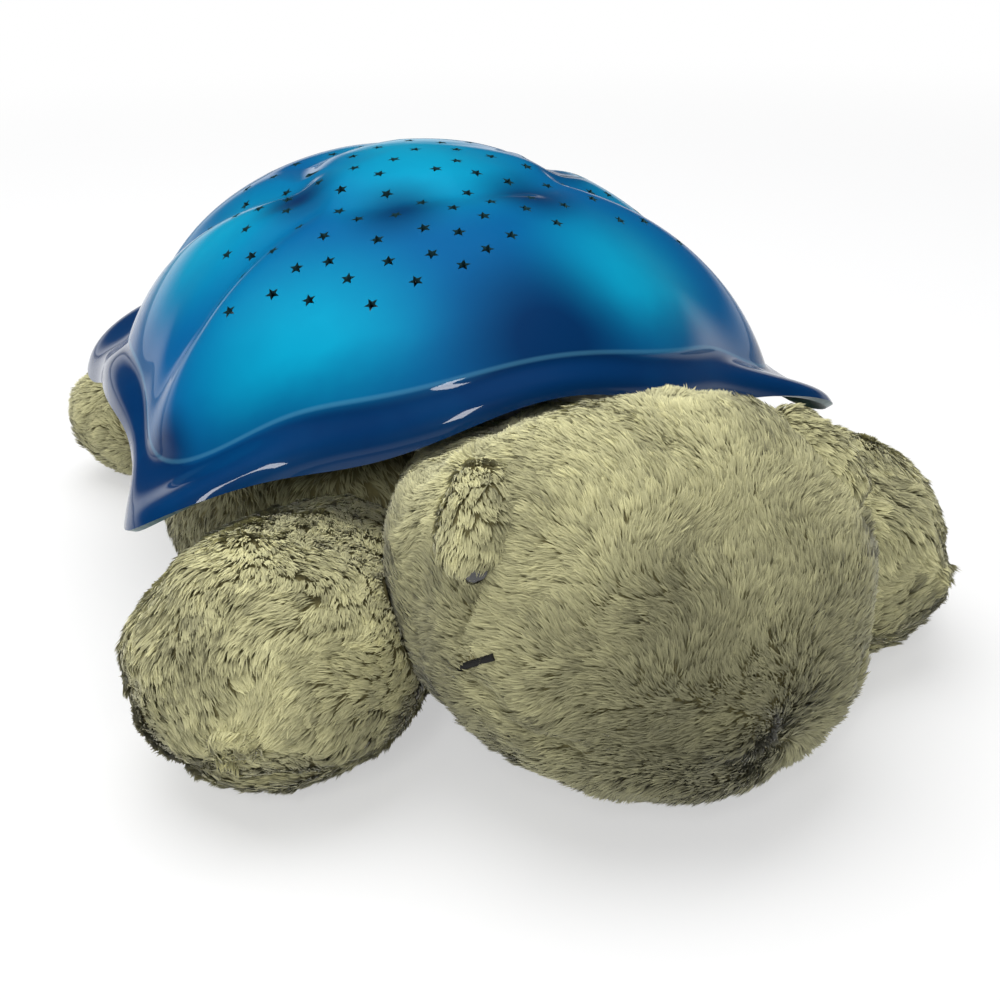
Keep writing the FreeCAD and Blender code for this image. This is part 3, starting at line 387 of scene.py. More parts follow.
# %% Close the grid into a solid wall
rows = len(profile)
wall_points = np.concatenate([profile, inner[::-1]]).reshape(-1, 3)
shell = new_piece("star_shell", wall_points,
                  [*ring_faces(2 * rows, COLUMNS), *end_rows(2 * rows, COLUMNS)])
print("shell wall", len(wall_points), "points")

# %% [markdown]
# ## Star holes
# The stars are real holes through the wall. A seeded scatter keeps a least distance between them,
# and each punch is a five-pointed prism set along the shell's normal. One Boolean cuts them all.

# %% Scatter the stars
import random

STAR_RADIUS = 2.3
STAR_INNER_SHARE = 0.45
STAR_PITCH = 10.0
STAR_SEED = 11
MOON_PLACE = (-33.0, 4.0)
MOON_RADIUS = 4.0
MOON_TURN = 20
PANEL_HALF_WIDTH, PANEL_FRONT = 38, 60


def star_places():
    """Places in the plan, and a turn for each star: none on the brim, the moon or the buttons."""
    chance = random.Random(STAR_SEED)
    kept = []
    for attempt in range(6000):
        angle = chance.uniform(-180, 180)
        share = chance.uniform(0.2, 0.97)
        point = dome_point(angle, share)
        low_share = 0.34 + 0.1 * math.sin(3 * math.radians(angle)) + 0.06 * chance.random()
        near_moon = math.hypot(point[0] - MOON_PLACE[0], point[1] - MOON_PLACE[1]) < STAR_PITCH
        on_panel = abs(point[0]) < PANEL_HALF_WIDTH and point[1] > PANEL_FRONT
        if share < low_share or near_moon or on_panel:
            continue
        if all(np.linalg.norm(point - other) > STAR_PITCH for other, _ in kept):
            kept.append((point, chance.uniform(0, 72)))
    return [(point[0], point[1], spin) for point, spin in kept]


def skin_at(x, y):
    """The nearest point of the outer skin above a place in the plan, and its normal."""
    flat = profile[:DOME_ROWS].reshape(-1, 3)
    nearest = np.argmin((flat[:, 0] - x) ** 2 + (flat[:, 1] - y) ** 2)
    return flat[nearest], outer_normals[:DOME_ROWS].reshape(-1, 3)[nearest]


def prism(outline, centre, normal, spin, reach):
    """Points and faces of an outline pushed along a normal."""
    turn = Vector((0, 0, 1)).rotation_difference(Vector(normal)).to_matrix()
    turn = np.array(turn @ Matrix.Rotation(math.radians(spin), 3, "Z"))
    flat = np.column_stack([outline, np.zeros(len(outline))]) @ turn.T
    count = len(outline)
    points = np.concatenate([centre + flat - normal * reach, centre + flat + normal * reach])
    sides = [[k, (k + 1) % count, count + (k + 1) % count, count + k] for k in range(count)]
    return points, [list(range(count))[::-1], list(range(count, 2 * count))] + sides


punch_points, punch_faces = [], []


def punch(*shape):
    """Add one prism to the tool that cuts the holes."""
    points, faces = prism(*shape)
    start = len(punch_points)
    punch_points.extend(points)
    punch_faces.extend([start + corner for corner in face] for face in faces)


star_turns = np.pi / 2 + np.pi * np.arange(10) / 5
star_reach = np.where(np.arange(10) % 2 == 0, STAR_RADIUS, STAR_RADIUS * STAR_INNER_SHARE)
star_outline = np.column_stack([star_reach * np.cos(star_turns), star_reach * np.sin(star_turns)])
sweep = np.linspace(-np.pi / 2, np.pi / 2, 13)
outer_arc, inner_arc = [
    MOON_RADIUS * np.column_stack([-fullness * np.cos(sweep), np.sin(sweep)])
    for fullness in (1, 0.35)]
moon_outline = np.concatenate([outer_arc[::-1], inner_arc[1:-1]])
stars = [(star_outline, *place) for place in star_places()]
for outline, x, y, spin in stars + [(moon_outline, *MOON_PLACE, MOON_TURN)]:
    punch(outline, *skin_at(x, y), spin, 2 * WALL)
print("star holes", len(stars))

# %% Button holes, on the rear of the dome
BUTTON_SHARE = 0.35
BUTTON_PITCH = 15.0
BUTTON_RADIUS = 4.5
BUTTON_GAP = 0.3
BUTTON_COUNT = 4
BUTTON_PUNCH = 12.0
X_WAY, Z_WAY = np.array([1.0, 0, 0]), np.array([0, 0, 1.0])
button_seat, lower, higher = [dome_point(180.0, BUTTON_SHARE + step) for step in (0, -0.01, 0.01)]
button_out = unit(np.cross(X_WAY, lower - higher))
button_out *= np.sign(button_out[2])
circle = 2 * np.pi * np.arange(40) / 40
hole_outline = (BUTTON_RADIUS + BUTTON_GAP) * np.column_stack([np.cos(circle), np.sin(circle)])
for k in range(BUTTON_COUNT):
    offset = X_WAY * (k - (BUTTON_COUNT - 1) / 2) * BUTTON_PITCH
    punch(hole_outline, button_seat + offset, button_out, 0, BUTTON_PUNCH)
print("button holes", BUTTON_COUNT)

# %% Cut the holes
cutter = new_piece("punches", punch_points, punch_faces, smooth=False)
inside, inside_shader, inside_place = new_material("shell_inside", Roughness=0.3)
painted, paint_shader, paint_place = new_material(
    "shell_painted", Roughness=0.45, Specular_IOR_Level=0.05, Coat_Weight=0.8,
    Coat_Roughness=0.03, Coat_IOR=1.36)
for piece, material in ((shell, painted), (shell, inside), (cutter, inside)):
    piece.data.materials.append(material)
cut = shell.modifiers.new("stars", "BOOLEAN")
cut.object = cutter
cut.operation = "DIFFERENCE"
cut.solver = "EXACT"
cut.material_mode = "TRANSFER"
depsgraph = bpy.context.evaluated_depsgraph_get()
cut_mesh = bpy.data.meshes.new_from_object(shell.evaluated_get(depsgraph))
shell.modifiers.clear()
shell.data = cut_mesh
bpy.data.objects.remove(cutter)
print("shell faces after the cut", len(shell.data.polygons))

# %% [markdown]
# ## Clean shading on the gloss
# A Boolean leaves long faces round each hole, and gloss would show them as dents. So each corner
# takes its normal from the smooth grid again, and only the holes' own walls keep flat normals.

# %% Find each corner's place on the uncut skin


def read(parts, name, width=1, kind=float):
    """One property of all of a mesh's corners, faces or points, as an array."""
    values = np.empty(len(parts) * width, dtype=kind)
    parts.foreach_get(name, values)
    return values.reshape(-1, width) if width > 1 else values


mesh = shell.data
quad_table = ring_faces(rows, COLUMNS)
flat_profile = profile.reshape(-1, 3) * MM
flat_normals = outer_normals.reshape(-1, 3)
flat_runs = from_crease.ravel() * MM
uncut_skin = BVHTree.FromPolygons(flat_profile.tolist(), quad_table.tolist())
vertex_normals, depths, crease_runs = [], [], []
for point in mesh.vertices:
    place, _, face, distance = uncut_skin.find_nearest(point.co)
    corners = quad_table[face]
    weights = 1 / (np.linalg.norm(flat_profile[corners] - np.array(place), axis=1) + 1e-7)
    vertex_normals.append(unit((flat_normals[corners] * weights[:, None]).sum(0)))
    crease_runs.append((flat_runs[corners] * weights).sum() / weights.sum())
    depths.append(distance)
mesh.attributes.new("from_crease", "FLOAT", "POINT").data.foreach_set("value", crease_runs)
print("points looked up", len(depths), "deepest", round(max(depths) / MM, 1), "mm")

# %% Give the skin its smooth normals back
SKIN_DEPTH = 0.05 * MM
loop_vertices = read(mesh.loops, "vertex_index", kind=int)
loop_totals = read(mesh.polygons, "loop_total", kind=int)
loop_faces = np.repeat(np.arange(len(mesh.polygons)), loop_totals)
loop_normals = np.array(vertex_normals)[loop_vertices]
face_normals = read(mesh.polygons, "normal", 3)[loop_faces]
agree = (loop_normals * face_normals).sum(1)
face_depth = np.bincount(loop_faces, np.array(depths)[loop_vertices]) / loop_totals
on_outside = (face_depth[loop_faces] < SKIN_DEPTH) & (agree > 0.5)
on_inside = agree < -0.5
mesh.normals_split_custom_set(np.select([on_outside[:, None], on_inside[:, None]],
                                        [loop_normals, -loop_normals], face_normals).tolist())
outside_face = np.zeros(len(mesh.polygons), dtype=bool)
outside_face[loop_faces[on_outside]] = True
mesh.polygons.foreach_set("material_index", np.where(outside_face, 0, 1))
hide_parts("shell")
print("painted faces", int(outside_face.sum()))

# %% [markdown]
# ## The shell's paint
# The shell is painted mid blue. A pale cyan patch of painted light lies on each field, and painted
# shade in dark blue fills the valleys, the collar and the brim. A clear coat over it gives the
# mirror gloss.

# %% Paint of the shell
# The cyan is painted light on each field, the dark blue is painted shade and the pale crease colour
# is a painted highlight; the mid blue is the paint itself.
LIT_CYAN = rgb(0, 152, 190)
MID_BLUE = rgb(0, 92, 148)
SHADE_BLUE = rgb(0, 46, 92)
CREASE_HIGHLIGHT = rgb(96, 170, 200)
# Centres and radii in mm. The patches are painted light on the fields; the shades are painted shade
# in the crown valleys, low on the front and at the front corners.
LIT_PATCHES = [((-62, -78, 103), 42), ((42, -82, 114), 36), ((-73, -1, 123), 38),
           ((73, -1, 123), 38), ((-5, -24, 145), 40), ((-45, 70, 115), 40), ((45, 70, 115), 40),
           ((0, 20, 143), 30)]
SHADES = [((2, -101, 108), 38), ((-103, -60, 75), 16), ((103, -60, 75), 16),
          ((-22, -48, 136), 22), ((22, -48, 136), 22), ((-44, -14, 131), 18), ((44, -14, 131), 18)]


def spots(place, table, outer, inner):
    """Soft spots, each a centre and a radius in mm, that fade between two shares of the radius."""
    total = 0.0
    for centre, radius in table:
        away = place.vector("DISTANCE", place, tuple(v * MM for v in centre), output=1)
        total = away.smooth(radius * outer * MM, radius * inner * MM) + total
    return total.math("MINIMUM", total, 1.0)


mottle = paint_place.noise(45.0, 3.0)
above = paint_place.node("ShaderNodeAttribute", {"attribute_name": "from_crease"}, output=2)
# Painted shade on the brim below the crease, and in a band low on the dome above it.
brim = above.smooth(0.0010, -0.0035)
low = (above + mottle * 0.010).smooth(0.026, 0.0)
# Painted light: a pale cyan patch on each field, fainter low on the dome and gone on the brim.
bright = spots(paint_place, LIT_PATCHES, 1.25, 0.1) * (mottle * 0.5 + 0.75)
bright = bright * (1 - low * 0.75) * (1 - brim)
# Painted shade in dark blue: the shade spots, the band low on the dome and the brim, mottled there.
shade_amount = spots(paint_place, SHADES, 1.0, 0.0) + low * 0.35 + brim * (mottle * 0.3 + 0.45)
colour = shade_amount.math("MINIMUM", shade_amount, 1.0).mix(bright.mix(MID_BLUE, LIT_CYAN), SHADE_BLUE)
# A thin painted highlight along the crease.
line = above.math("ABSOLUTE", above).smooth(0.0011, 0.0002)
feed(paint_shader, "Base Color", (line * 0.22).mix(colour, CREASE_HIGHLIGHT))
print("painted", len(LIT_PATCHES), "bright patches and", len(SHADES), "shades")

# %% Bare plastic of the shell's inside and of its holes
grain = inside_place.noise(900.0)
feed(inside_shader, "Base Color", grain.mix(rgb(44, 84, 92), rgb(58, 100, 106)))
print("shell materials", [material.name for material in shell.data.materials])

# %% [markdown]
# ## Stuffed forms
# Body, head, flippers and tail are sewn from panels and stuffed. Each is lofted through ovals along
# a line, as its CAD solid is, then swollen and dented a little by smooth noise. A loft keeps the
# sizes exact, where a cloth simulation would swell them out of their places.

# %% Smooth noise for shapes


class Waves:
    """Smooth seeded noise in space: a sum of waves in random directions, about -1 to 1."""

    def __init__(self, seed, wavelength, count=14):
        chance = np.random.default_rng(seed)
        self.ways = unit(chance.normal(size=(count, 3)))
        self.ways *= 2 * np.pi / (wavelength * chance.uniform(0.7, 1.4, size=(count, 1)))
        self.phases = chance.uniform(0, 2 * np.pi, count)

    def at(self, points):
        waves = np.sin(points @ self.ways.T + self.phases)
        return waves.sum(-1) / math.sqrt(len(self.phases) / 2)


def spline(knots, values, where):
    """A smooth curve through values at knots."""
    knots, values = np.asarray(knots, float), np.asarray(values, float)
    slopes = np.gradient(values, knots, axis=0)
    index = np.clip(np.searchsorted(knots, where) - 1, 0, len(knots) - 2)
    span = knots[index + 1] - knots[index]
    t = (where - knots[index]) / span
    shape = t.shape + (1,) * (values.ndim - 1)
    t, span = t.reshape(shape), span.reshape(shape)
    step = 3 * t ** 2 - 2 * t ** 3
    return ((1 - step) * values[index] + step * values[index + 1]
            + (t - 1) ** 2 * t * span * slopes[index] + (t - 1) * t ** 2 * span * slopes[index + 1])


print("noise at the origin:", round(float(Waves(1, 50).at(np.zeros(3))), 2))

# %% Loft through oval rings
RING_COLUMNS = 180
PILE_DEPTH = 2.8
ring_turn = 2 * np.pi * np.arange(RING_COLUMNS) / RING_COLUMNS


def oval(fullness):
    """A round of unit points: fullness 2 is a circle, more is squarer."""
    return [np.sign(wave) * np.abs(wave) ** (2 / fullness)
            for wave in (np.cos(ring_turn), np.sin(ring_turn))]


def oval_loft(shares, centres, across, half_across, half_up, fullness, stations, tip_bulge=3.0):
    """A grid of points through upright ovals, with rows that round off its far end."""
    where = 1 - np.linspace(1, 0, stations) ** 1.3
    centre = spline(shares, centres, where)
    wide = np.maximum(spline(shares, half_across, where), 1.0)
    tall = np.maximum(spline(shares, half_up, where), 1.0)
    cosine, sine = oval(fullness)
    grid = (centre[:, None] + wide[:, None, None] * cosine[None, :, None] * across
            + tall[:, None, None] * sine[None, :, None] * Z_WAY)
    heading = unit(centres[-1] - centres[0])
    turn = np.radians(np.linspace(0, 86, 9)[1:])[:, None, None]
    cap = centre[-1] + (grid[-1] - centre[-1]) * np.cos(turn) + heading * tip_bulge * np.sin(turn)
    return np.concatenate([grid, cap])


def swollen(grid, *layers):
    """A grid moved along its normals by layers of noise, each a (seed, wavelength, height)."""
    lumps = sum(Waves(seed, wavelength).at(grid) * height for seed, wavelength, height in layers)
    return grid + grid_normals(grid) * lumps[..., None]


def stuffed(node):
    """Hide the CAD node that a padded piece stands for."""
    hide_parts(node)


def stuffed_mesh(name, grid, node):
    """A closed padded piece from a lofted grid, with a fan at each end."""
    rows, columns, _ = grid.shape
    points = np.concatenate([grid.reshape(-1, 3), [grid[0].mean(0), grid[-1].mean(0)]])
    fans = []
    for middle, ring in enumerate(end_rows(rows, columns)):
        fans += [[rows * columns + middle, a, b] for a, b in zip(ring, np.roll(ring, -1))]
    piece = new_piece(name, points, [*ring_faces(rows, columns), *fans])
    stuffed(node)
    return piece


print("points round each ring:", RING_COLUMNS)

# %% [markdown]
# ## Neighbours that press
# Stuffed pieces flatten where they meet. A point of one form that lies inside another is moved out
# to the other's surface, so the two touch and never cross, and no pile grows there.

# %% The belly's outline and the deck as walls
BELLY_HALF_WIDTH, BELLY_HALF_LENGTH, BELLY_MIDDLE = 92.0, 95.0, 3.0
BELLY_TOP, BELLY_FULLNESS = 69.6, 2.5
BELLY_LEVELS = [0.0, 7.0, 29.2, 52.2, 64.7, 69.6]
BELLY_SHARES = [0.82, 0.93, 1.00, 0.97, 0.91, 0.84]
DECK_REACH = 92.0
CONTACT = 0.3


def oval_measure(x, other, fullness):
    """1 on an oval of this fullness, less inside it."""
    return (np.abs(x) ** fullness + np.abs(other) ** fullness) ** (1 / fullness)


def belly_wall(grid):
    """Points inside the belly, and where they go."""
    share = spline(BELLY_LEVELS, BELLY_SHARES, np.clip(grid[..., 2], 0, BELLY_TOP))
    x = grid[..., 0] / (BELLY_HALF_WIDTH * share)
    y = (grid[..., 1] - BELLY_MIDDLE) / (BELLY_HALF_LENGTH * share)
    measure = oval_measure(x, y, BELLY_FULLNESS)
    inside = (measure < 1) & (grid[..., 2] < BELLY_TOP)
    grow = (1 + CONTACT / BELLY_HALF_WIDTH) / np.maximum(measure, 0.05)
    middle = np.array([0, BELLY_MIDDLE, 0])
    moved = middle + (grid - middle) * np.stack([grow, grow, np.ones_like(grow)], -1)
    return inside, moved


def deck_wall(grid):
    """Points under the shell that would reach through the deck's rim."""
    ceiling = BELLY_TOP - CONTACT
    inside = (np.hypot(grid[..., 0], grid[..., 1]) < DECK_REACH) & (grid[..., 2] > ceiling)
    return inside, grid * (1, 1, 0) + Z_WAY * ceiling


def pressed(grid, *walls):
    """The grid with what lies inside its neighbours moved out, and which points moved."""
    touched = np.zeros(grid.shape[:-1], bool)
    for wall in walls:
        inside, moved = wall(grid)
        grid = np.where(inside[..., None], moved, grid)
        touched |= inside
    return grid, touched


print("the belly is", 2 * BELLY_HALF_WIDTH, "mm wide and", BELLY_TOP, "mm high")

# %% [markdown]
# ## The head
# The head leans a little to the turtle's left, as it slumps in the photograph. A broad top panel
# laps over the cheeks, so a seam runs down each side of the face, by the eye and the mouth mark.

# %% The head's ovals
HEAD_HALF, HEAD_TOP, HEAD_BOTTOM = 63.0, 103.0, 3.0
HEAD_ROOT, HEAD_NOSE, HEAD_LEAN = -82.0, -211.0, 6.0
HEAD_FULLNESS = 2.15
HEAD_RINGS = np.array([
    (0.00, 0.60, 0.32, 0.74), (0.17, 0.80, 0.18, 0.82), (0.31, 0.93, 0.09, 0.89),
    (0.43, 1.00, 0.04, 0.97), (0.60, 1.01, 0.01, 1.00), (0.78, 0.90, 0.02, 0.88),
    (0.91, 0.69, 0.09, 0.68), (0.975, 0.42, 0.18, 0.52), (1.00, 0.16, 0.27, 0.42)])
head_shares, head_widths = HEAD_RINGS[:, 0], HEAD_HALF * HEAD_RINGS[:, 1]
head_height = HEAD_TOP - HEAD_BOTTOM
head_heights = head_height * (HEAD_RINGS[:, 3] - HEAD_RINGS[:, 2]) / 2
head_centres = np.column_stack([HEAD_LEAN * np.minimum(1, 2 * head_shares),
                                HEAD_ROOT + head_shares * (HEAD_NOSE - HEAD_ROOT),
                                HEAD_BOTTOM + HEAD_RINGS[:, 2:].mean(1) * head_height])


def head_wall(grid):
    """Points inside the head, and where they go."""
    share = np.clip((grid[..., 1] - HEAD_ROOT) / (HEAD_NOSE - HEAD_ROOT), 0, 1)
    centre = spline(head_shares, head_centres, share)
    x = (grid[..., 0] - centre[..., 0]) / spline(head_shares, head_widths, share)
    z = (grid[..., 2] - centre[..., 2]) / spline(head_shares, head_heights, share)
    measure = oval_measure(x, z, HEAD_FULLNESS)
    inside = (measure < 1) & (grid[..., 1] < HEAD_ROOT) & (grid[..., 1] > HEAD_NOSE)
    grow = (1.0 + CONTACT / HEAD_HALF) / np.maximum(measure, 0.05)
    moved = grid.copy()
    for axis in (0, 2):
        moved[..., axis] = centre[..., axis] + (grid[..., axis] - centre[..., axis]) * grow
    return inside, moved


print("head of", len(HEAD_RINGS), "ovals,", head_height, "mm high")

# %% Seam, brow dent and skin of the head


def middle_of(node):
    """The middle of a CAD node's box, in millimetres."""
    low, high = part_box(node)
    return (np.array(low) + np.array(high)) / 2 / MM


FACE_SEAM = [(-37, -140, 92), (-39, -160, 88), (-43.8, -173, 79), (-49, -177, 70),
             (-52.5, -177, 60), (-50.5, -184, 50), (-43.5, -193, 42), (-33, -200, 36)]
SEAM_DEPTH, SEAM_WIDTH = 2.4, 2.6
BROW_DENT, BROW_SPREAD, BROW_DEPTH = np.array([2.0, -192.0, 80.0]), (22, 22, 7), 1.6
SPOT_SPREAD = 5


def one_side(points):
    """Points with those of the head's left side mirrored onto its right."""
    folded = points.copy()
    folded[..., 0] = HEAD_LEAN - np.abs(points[..., 0] - HEAD_LEAN)
    return folded


def near(points, centre, spread):
    """1 at a centre, fading to 0 over a spread, which may differ by direction."""
    return np.exp(-np.linalg.norm((points - centre) / spread, axis=-1) ** 2)


head_grid = oval_loft(head_shares, head_centres, X_WAY, head_widths, head_heights,
                      HEAD_FULLNESS, 150)
head_grid = swollen(head_grid, (3, 60, 0.9), (4, 24, 0.35))
from_seam = line_distance(one_side(head_grid), FACE_SEAM)
dent = (SEAM_DEPTH * np.exp(-(from_seam / SEAM_WIDTH) ** 2)
        + BROW_DEPTH * near(head_grid, BROW_DENT, BROW_SPREAD))
near_spot = 0.75 * sum(near(head_grid, middle_of(node), SPOT_SPREAD)
                       for node in ("mouth_stitch", "eye_right", "eye_left"))
head_grid = head_grid - grid_normals(head_grid) * ((dent + PILE_DEPTH) * (1 - near_spot))[..., None]
head_grid, head_hidden = pressed(head_grid, deck_wall, belly_wall)
head = stuffed_mesh("head_skin", head_grid, "head")
print("head", len(head.data.polygons), "faces")

# %% [markdown]
# ## Flippers and tail
# The front flippers are full paddles that splay to each side of the head; the rear ones and the
# tail are smaller. A seam runs low round each paddle, where its top and bottom panels meet.

# %% Limbs
FLOOR_GAP = 0.6
PADDLE = np.array([
    (0.00, 0.50, 0.50, 1.10), (0.22, 0.72, 0.72, 1.05), (0.45, 0.93, 0.92, 1.02),
    (0.64, 1.00, 1.00, 1.00), (0.82, 0.88, 0.88, 0.97), (0.94, 0.58, 0.60, 0.92),
    (1.00, 0.20, 0.22, 0.88)])
TAPER = np.array([(0.00, 1.00, 1.00, 1.9), (0.40, 1.00, 0.95, 1.75), (0.75, 0.66, 0.66, 1.5),
                  (1.00, 0.22, 0.25, 1.3)])
LIMB_SEAM_LEVEL, LIMB_SEAM_WIDTH, LIMB_SEAM_DEPTH = 0.42, 0.06, 1.2


def limb_grid(root, tip, radius, depth, rings, stations, seed):
    """A stuffed limb along a line in the plan, with its seam."""
    heading = unit(tip - root)
    centres = root + (tip - root) * rings[:, :1]
    centres[:, 2] = FLOOR_GAP + depth * rings[:, 3]
    grid = oval_loft(rings[:, 0], centres, np.cross(Z_WAY, heading), radius * rings[:, 1],
                     depth * rings[:, 2], 2.1, stations, 2.0)
    grid = swollen(grid, (seed, 45, 0.7), (seed + 1, 18, 0.25))
    normals = grid_normals(grid)
    level = (grid[..., 2] - FLOOR_GAP) / depth
    seam = np.exp(-((level - LIMB_SEAM_LEVEL) / LIMB_SEAM_WIDTH) ** 2)
    seam *= np.clip(normals @ heading + 0.5, 0, 1)
    grid = grid - normals * (LIMB_SEAM_DEPTH * seam + PILE_DEPTH)[..., None]
    grid[..., 2] = np.maximum(grid[..., 2], FLOOR_GAP)
    return grid


limbs = []


def make_limb(name, root, tip, *shape, walls=(belly_wall,), fill=0.9):
    """The limb's padded piece; its grid, what touches a neighbour and its heading are kept."""
    root, tip = np.array(root, float), np.array(tip, float)
    grid, hidden = pressed(limb_grid(root, tip, *shape), *walls)
    stuffed_mesh(name + "_skin", grid, name)
    limbs.append((name, grid, hidden, unit(tip - root)))


for side, word in ((-1, "right"), (1, "left")):
    make_limb("front_flipper_" + word, (side * 46, -58, 0), (side * 106, -154.4, 0), 42, 33,
              PADDLE, 110, 20 + side, walls=(belly_wall, head_wall))
    make_limb("rear_flipper_" + word, (side * 50, 56, 0), (side * 104.74, 125.14, 0), 27, 26,
              PADDLE, 70, 30 + side)
make_limb("tail", (0, 82, 0), (0, 124, 0), 13, 13, TAPER, 50, 40, fill=0.8)
print("limbs:", [name for name, *_ in limbs])

# %% [markdown]
# ## The belly cushion
# The belly is a deep cushion with a stepped pocket, which holds the lamp housing from above and the
# battery bay below it. Its skin runs up the outside, over the top, down the pocket and out again at
# the flap's recess, so one closed grid makes it.

# %% Belly
PAN_HALF = (52.3, 54.3)
BAY_HALF = (32.5, 26.3)
RECESS_HALF = (35.0, 32.0)
PAN_MIDDLE_LEVEL, PAN_FLOOR_LEVEL, RECESS_LEVEL = 46.0, 23.6, 5.05


def box_ring(half, level):
    """A round of points on an upright box's wall."""
    x, y = np.cos(ring_turn), np.sin(ring_turn)
    reach = np.maximum(np.abs(x) / half[0], np.abs(y) / half[1])
    return np.column_stack([x / reach, y / reach, np.full(RING_COLUMNS, level)])


levels = np.concatenate([np.linspace(0, 4, 8), np.linspace(5, BELLY_TOP, 50)])[:, None]
shares = spline(BELLY_LEVELS, BELLY_SHARES, levels)
cosine, sine = oval(BELLY_FULLNESS)
belly_outside = np.stack(np.broadcast_arrays(
    BELLY_HALF_WIDTH * shares * cosine, BELLY_MIDDLE + BELLY_HALF_LENGTH * shares * sine,
    levels), -1)
belly_outside = swollen(belly_outside, (50, 50, 0.8), (51, 22, 0.3))
belly_outside[..., 2] = np.clip(belly_outside[..., 2], 0, BELLY_TOP)
pocket = [box_ring(half, level) for half, level in (
    (PAN_HALF, BELLY_TOP), (PAN_HALF, PAN_MIDDLE_LEVEL), (PAN_HALF, PAN_FLOOR_LEVEL),
    (BAY_HALF, PAN_FLOOR_LEVEL), (BAY_HALF, RECESS_LEVEL), (RECESS_HALF, RECESS_LEVEL),
    (RECESS_HALF, 0.0))]
belly_grid = np.concatenate([belly_outside, pocket])
belly_rows = len(belly_grid)
belly_faces = ring_faces(belly_rows + 1, RING_COLUMNS) % (belly_rows * RING_COLUMNS)
body = new_piece("body_skin", belly_grid.reshape(-1, 3), belly_faces)
stuffed("body")
print("belly rows", belly_rows)

# %% [markdown]
# ## Lids
# Each eye sits in a fold: a small stuffed lid lies over it like a heavy brow. It is a flat oval
# cushion that follows the head's side, from high on the crown down to the eye.

# %% Lids over the eyes
LID_HALF_LENGTH, LID_HALF_WIDTH, LID_SWELL = 16.0, 9.5, 7.0
LID_SINK = 0.8
LID_FORWARD = np.array([0.0, -4.0, 0.0])
LID_RINGS = np.array([(-1.0, 0.20), (-0.86, 0.52), (-0.5, 0.86), (0.0, 1.0), (0.5, 0.96),
                      (0.84, 0.62), (1.0, 0.24)])


def on_head(place):
    """The nearest point of the head's skin and its normal."""
    flat = head_grid.reshape(-1, 3)
    nearest = np.argmin(((flat - place) ** 2).sum(1))
    return flat[nearest], grid_normals(head_grid).reshape(-1, 3)[nearest]


def lid_grid(lid, eye, seed):
    """A flat cushion on the head from the crown to the eye."""
    middle, normal = on_head(middle_of(lid) + LID_FORWARD)
    along = middle_of(eye) - middle
    along = unit(along - normal * (along @ normal))
    across = np.cross(along, normal)
    where = np.linspace(-1, 1, 44)
    half = spline(LID_RINGS[:, 0], LID_RINGS[:, 1], where)
    rows = []
    for t, share in zip(where, half):
        centre, up = on_head(middle + along * LID_HALF_LENGTH * t)
        rows.append(centre - up * LID_SINK
                    + np.outer(LID_HALF_WIDTH * share * np.cos(ring_turn), across)
                    + np.outer(LID_SWELL * share * np.sin(ring_turn), up))
    return swollen(soften(np.array(rows), 3), (seed, 16, 0.25)), along


lids = []
for side, word in ((-1, "right"), (1, "left")):
    grid, along = lid_grid("eyelid_" + word, "eye_" + word, 60 + side)
    stuffed_mesh("eyelid_skin_" + word, grid, "eyelid_" + word)
    lids.append(("eyelid_" + word, grid, np.zeros(grid.shape[:2], bool), along))
print("lids:", len(lids))

# %% [markdown]
# ## Plush
# The cloth is a long-pile plush: fine strands about 5 mm long that lie over and gather in small
# clumps, with painted shade at the roots between them. Hair curves would be lost in the exported
# model, so each strand is a slim leaf of two triangles. Its colour runs from a root darkened by
# painted shade to a pale tip.

# %% Roots of the strands


def scatter(grid, hidden, count, chance):
    """Random places on a grid's shown surface, even by area, and their normals."""
    normals = grid_normals(grid)

    def corners(values):
        ahead = np.roll(values, -1, 1)
        return np.stack([values[:-1], ahead[:-1], ahead[1:], values[1:]], 2)

    quads, quad_normals = corners(grid), corners(normals)
    diagonals = quads[:, :, 2] - quads[:, :, 0], quads[:, :, 3] - quads[:, :, 1]
    area = np.linalg.norm(np.cross(*diagonals), axis=-1)
    area = (area * ~corners(hidden).any(2)).ravel()
    picked = chance.choice(area.size, count, p=area / area.sum())
    u, v = chance.random((2, count))
    weights = np.stack([(1 - u) * (1 - v), u * (1 - v), u * v, (1 - u) * v], -1)[..., None]
    places = (quads.reshape(-1, 4, 3)[picked] * weights).sum(1)
    ways = (quad_normals.reshape(-1, 4, 3)[picked] * weights).sum(1)
    return places, unit(ways), area.sum() / 2


print("the head's skin has", head_grid.shape[0] * RING_COLUMNS, "points to grow pile between")

# %% Mesh of the strands
FLOOR_CLEAR = 0.2


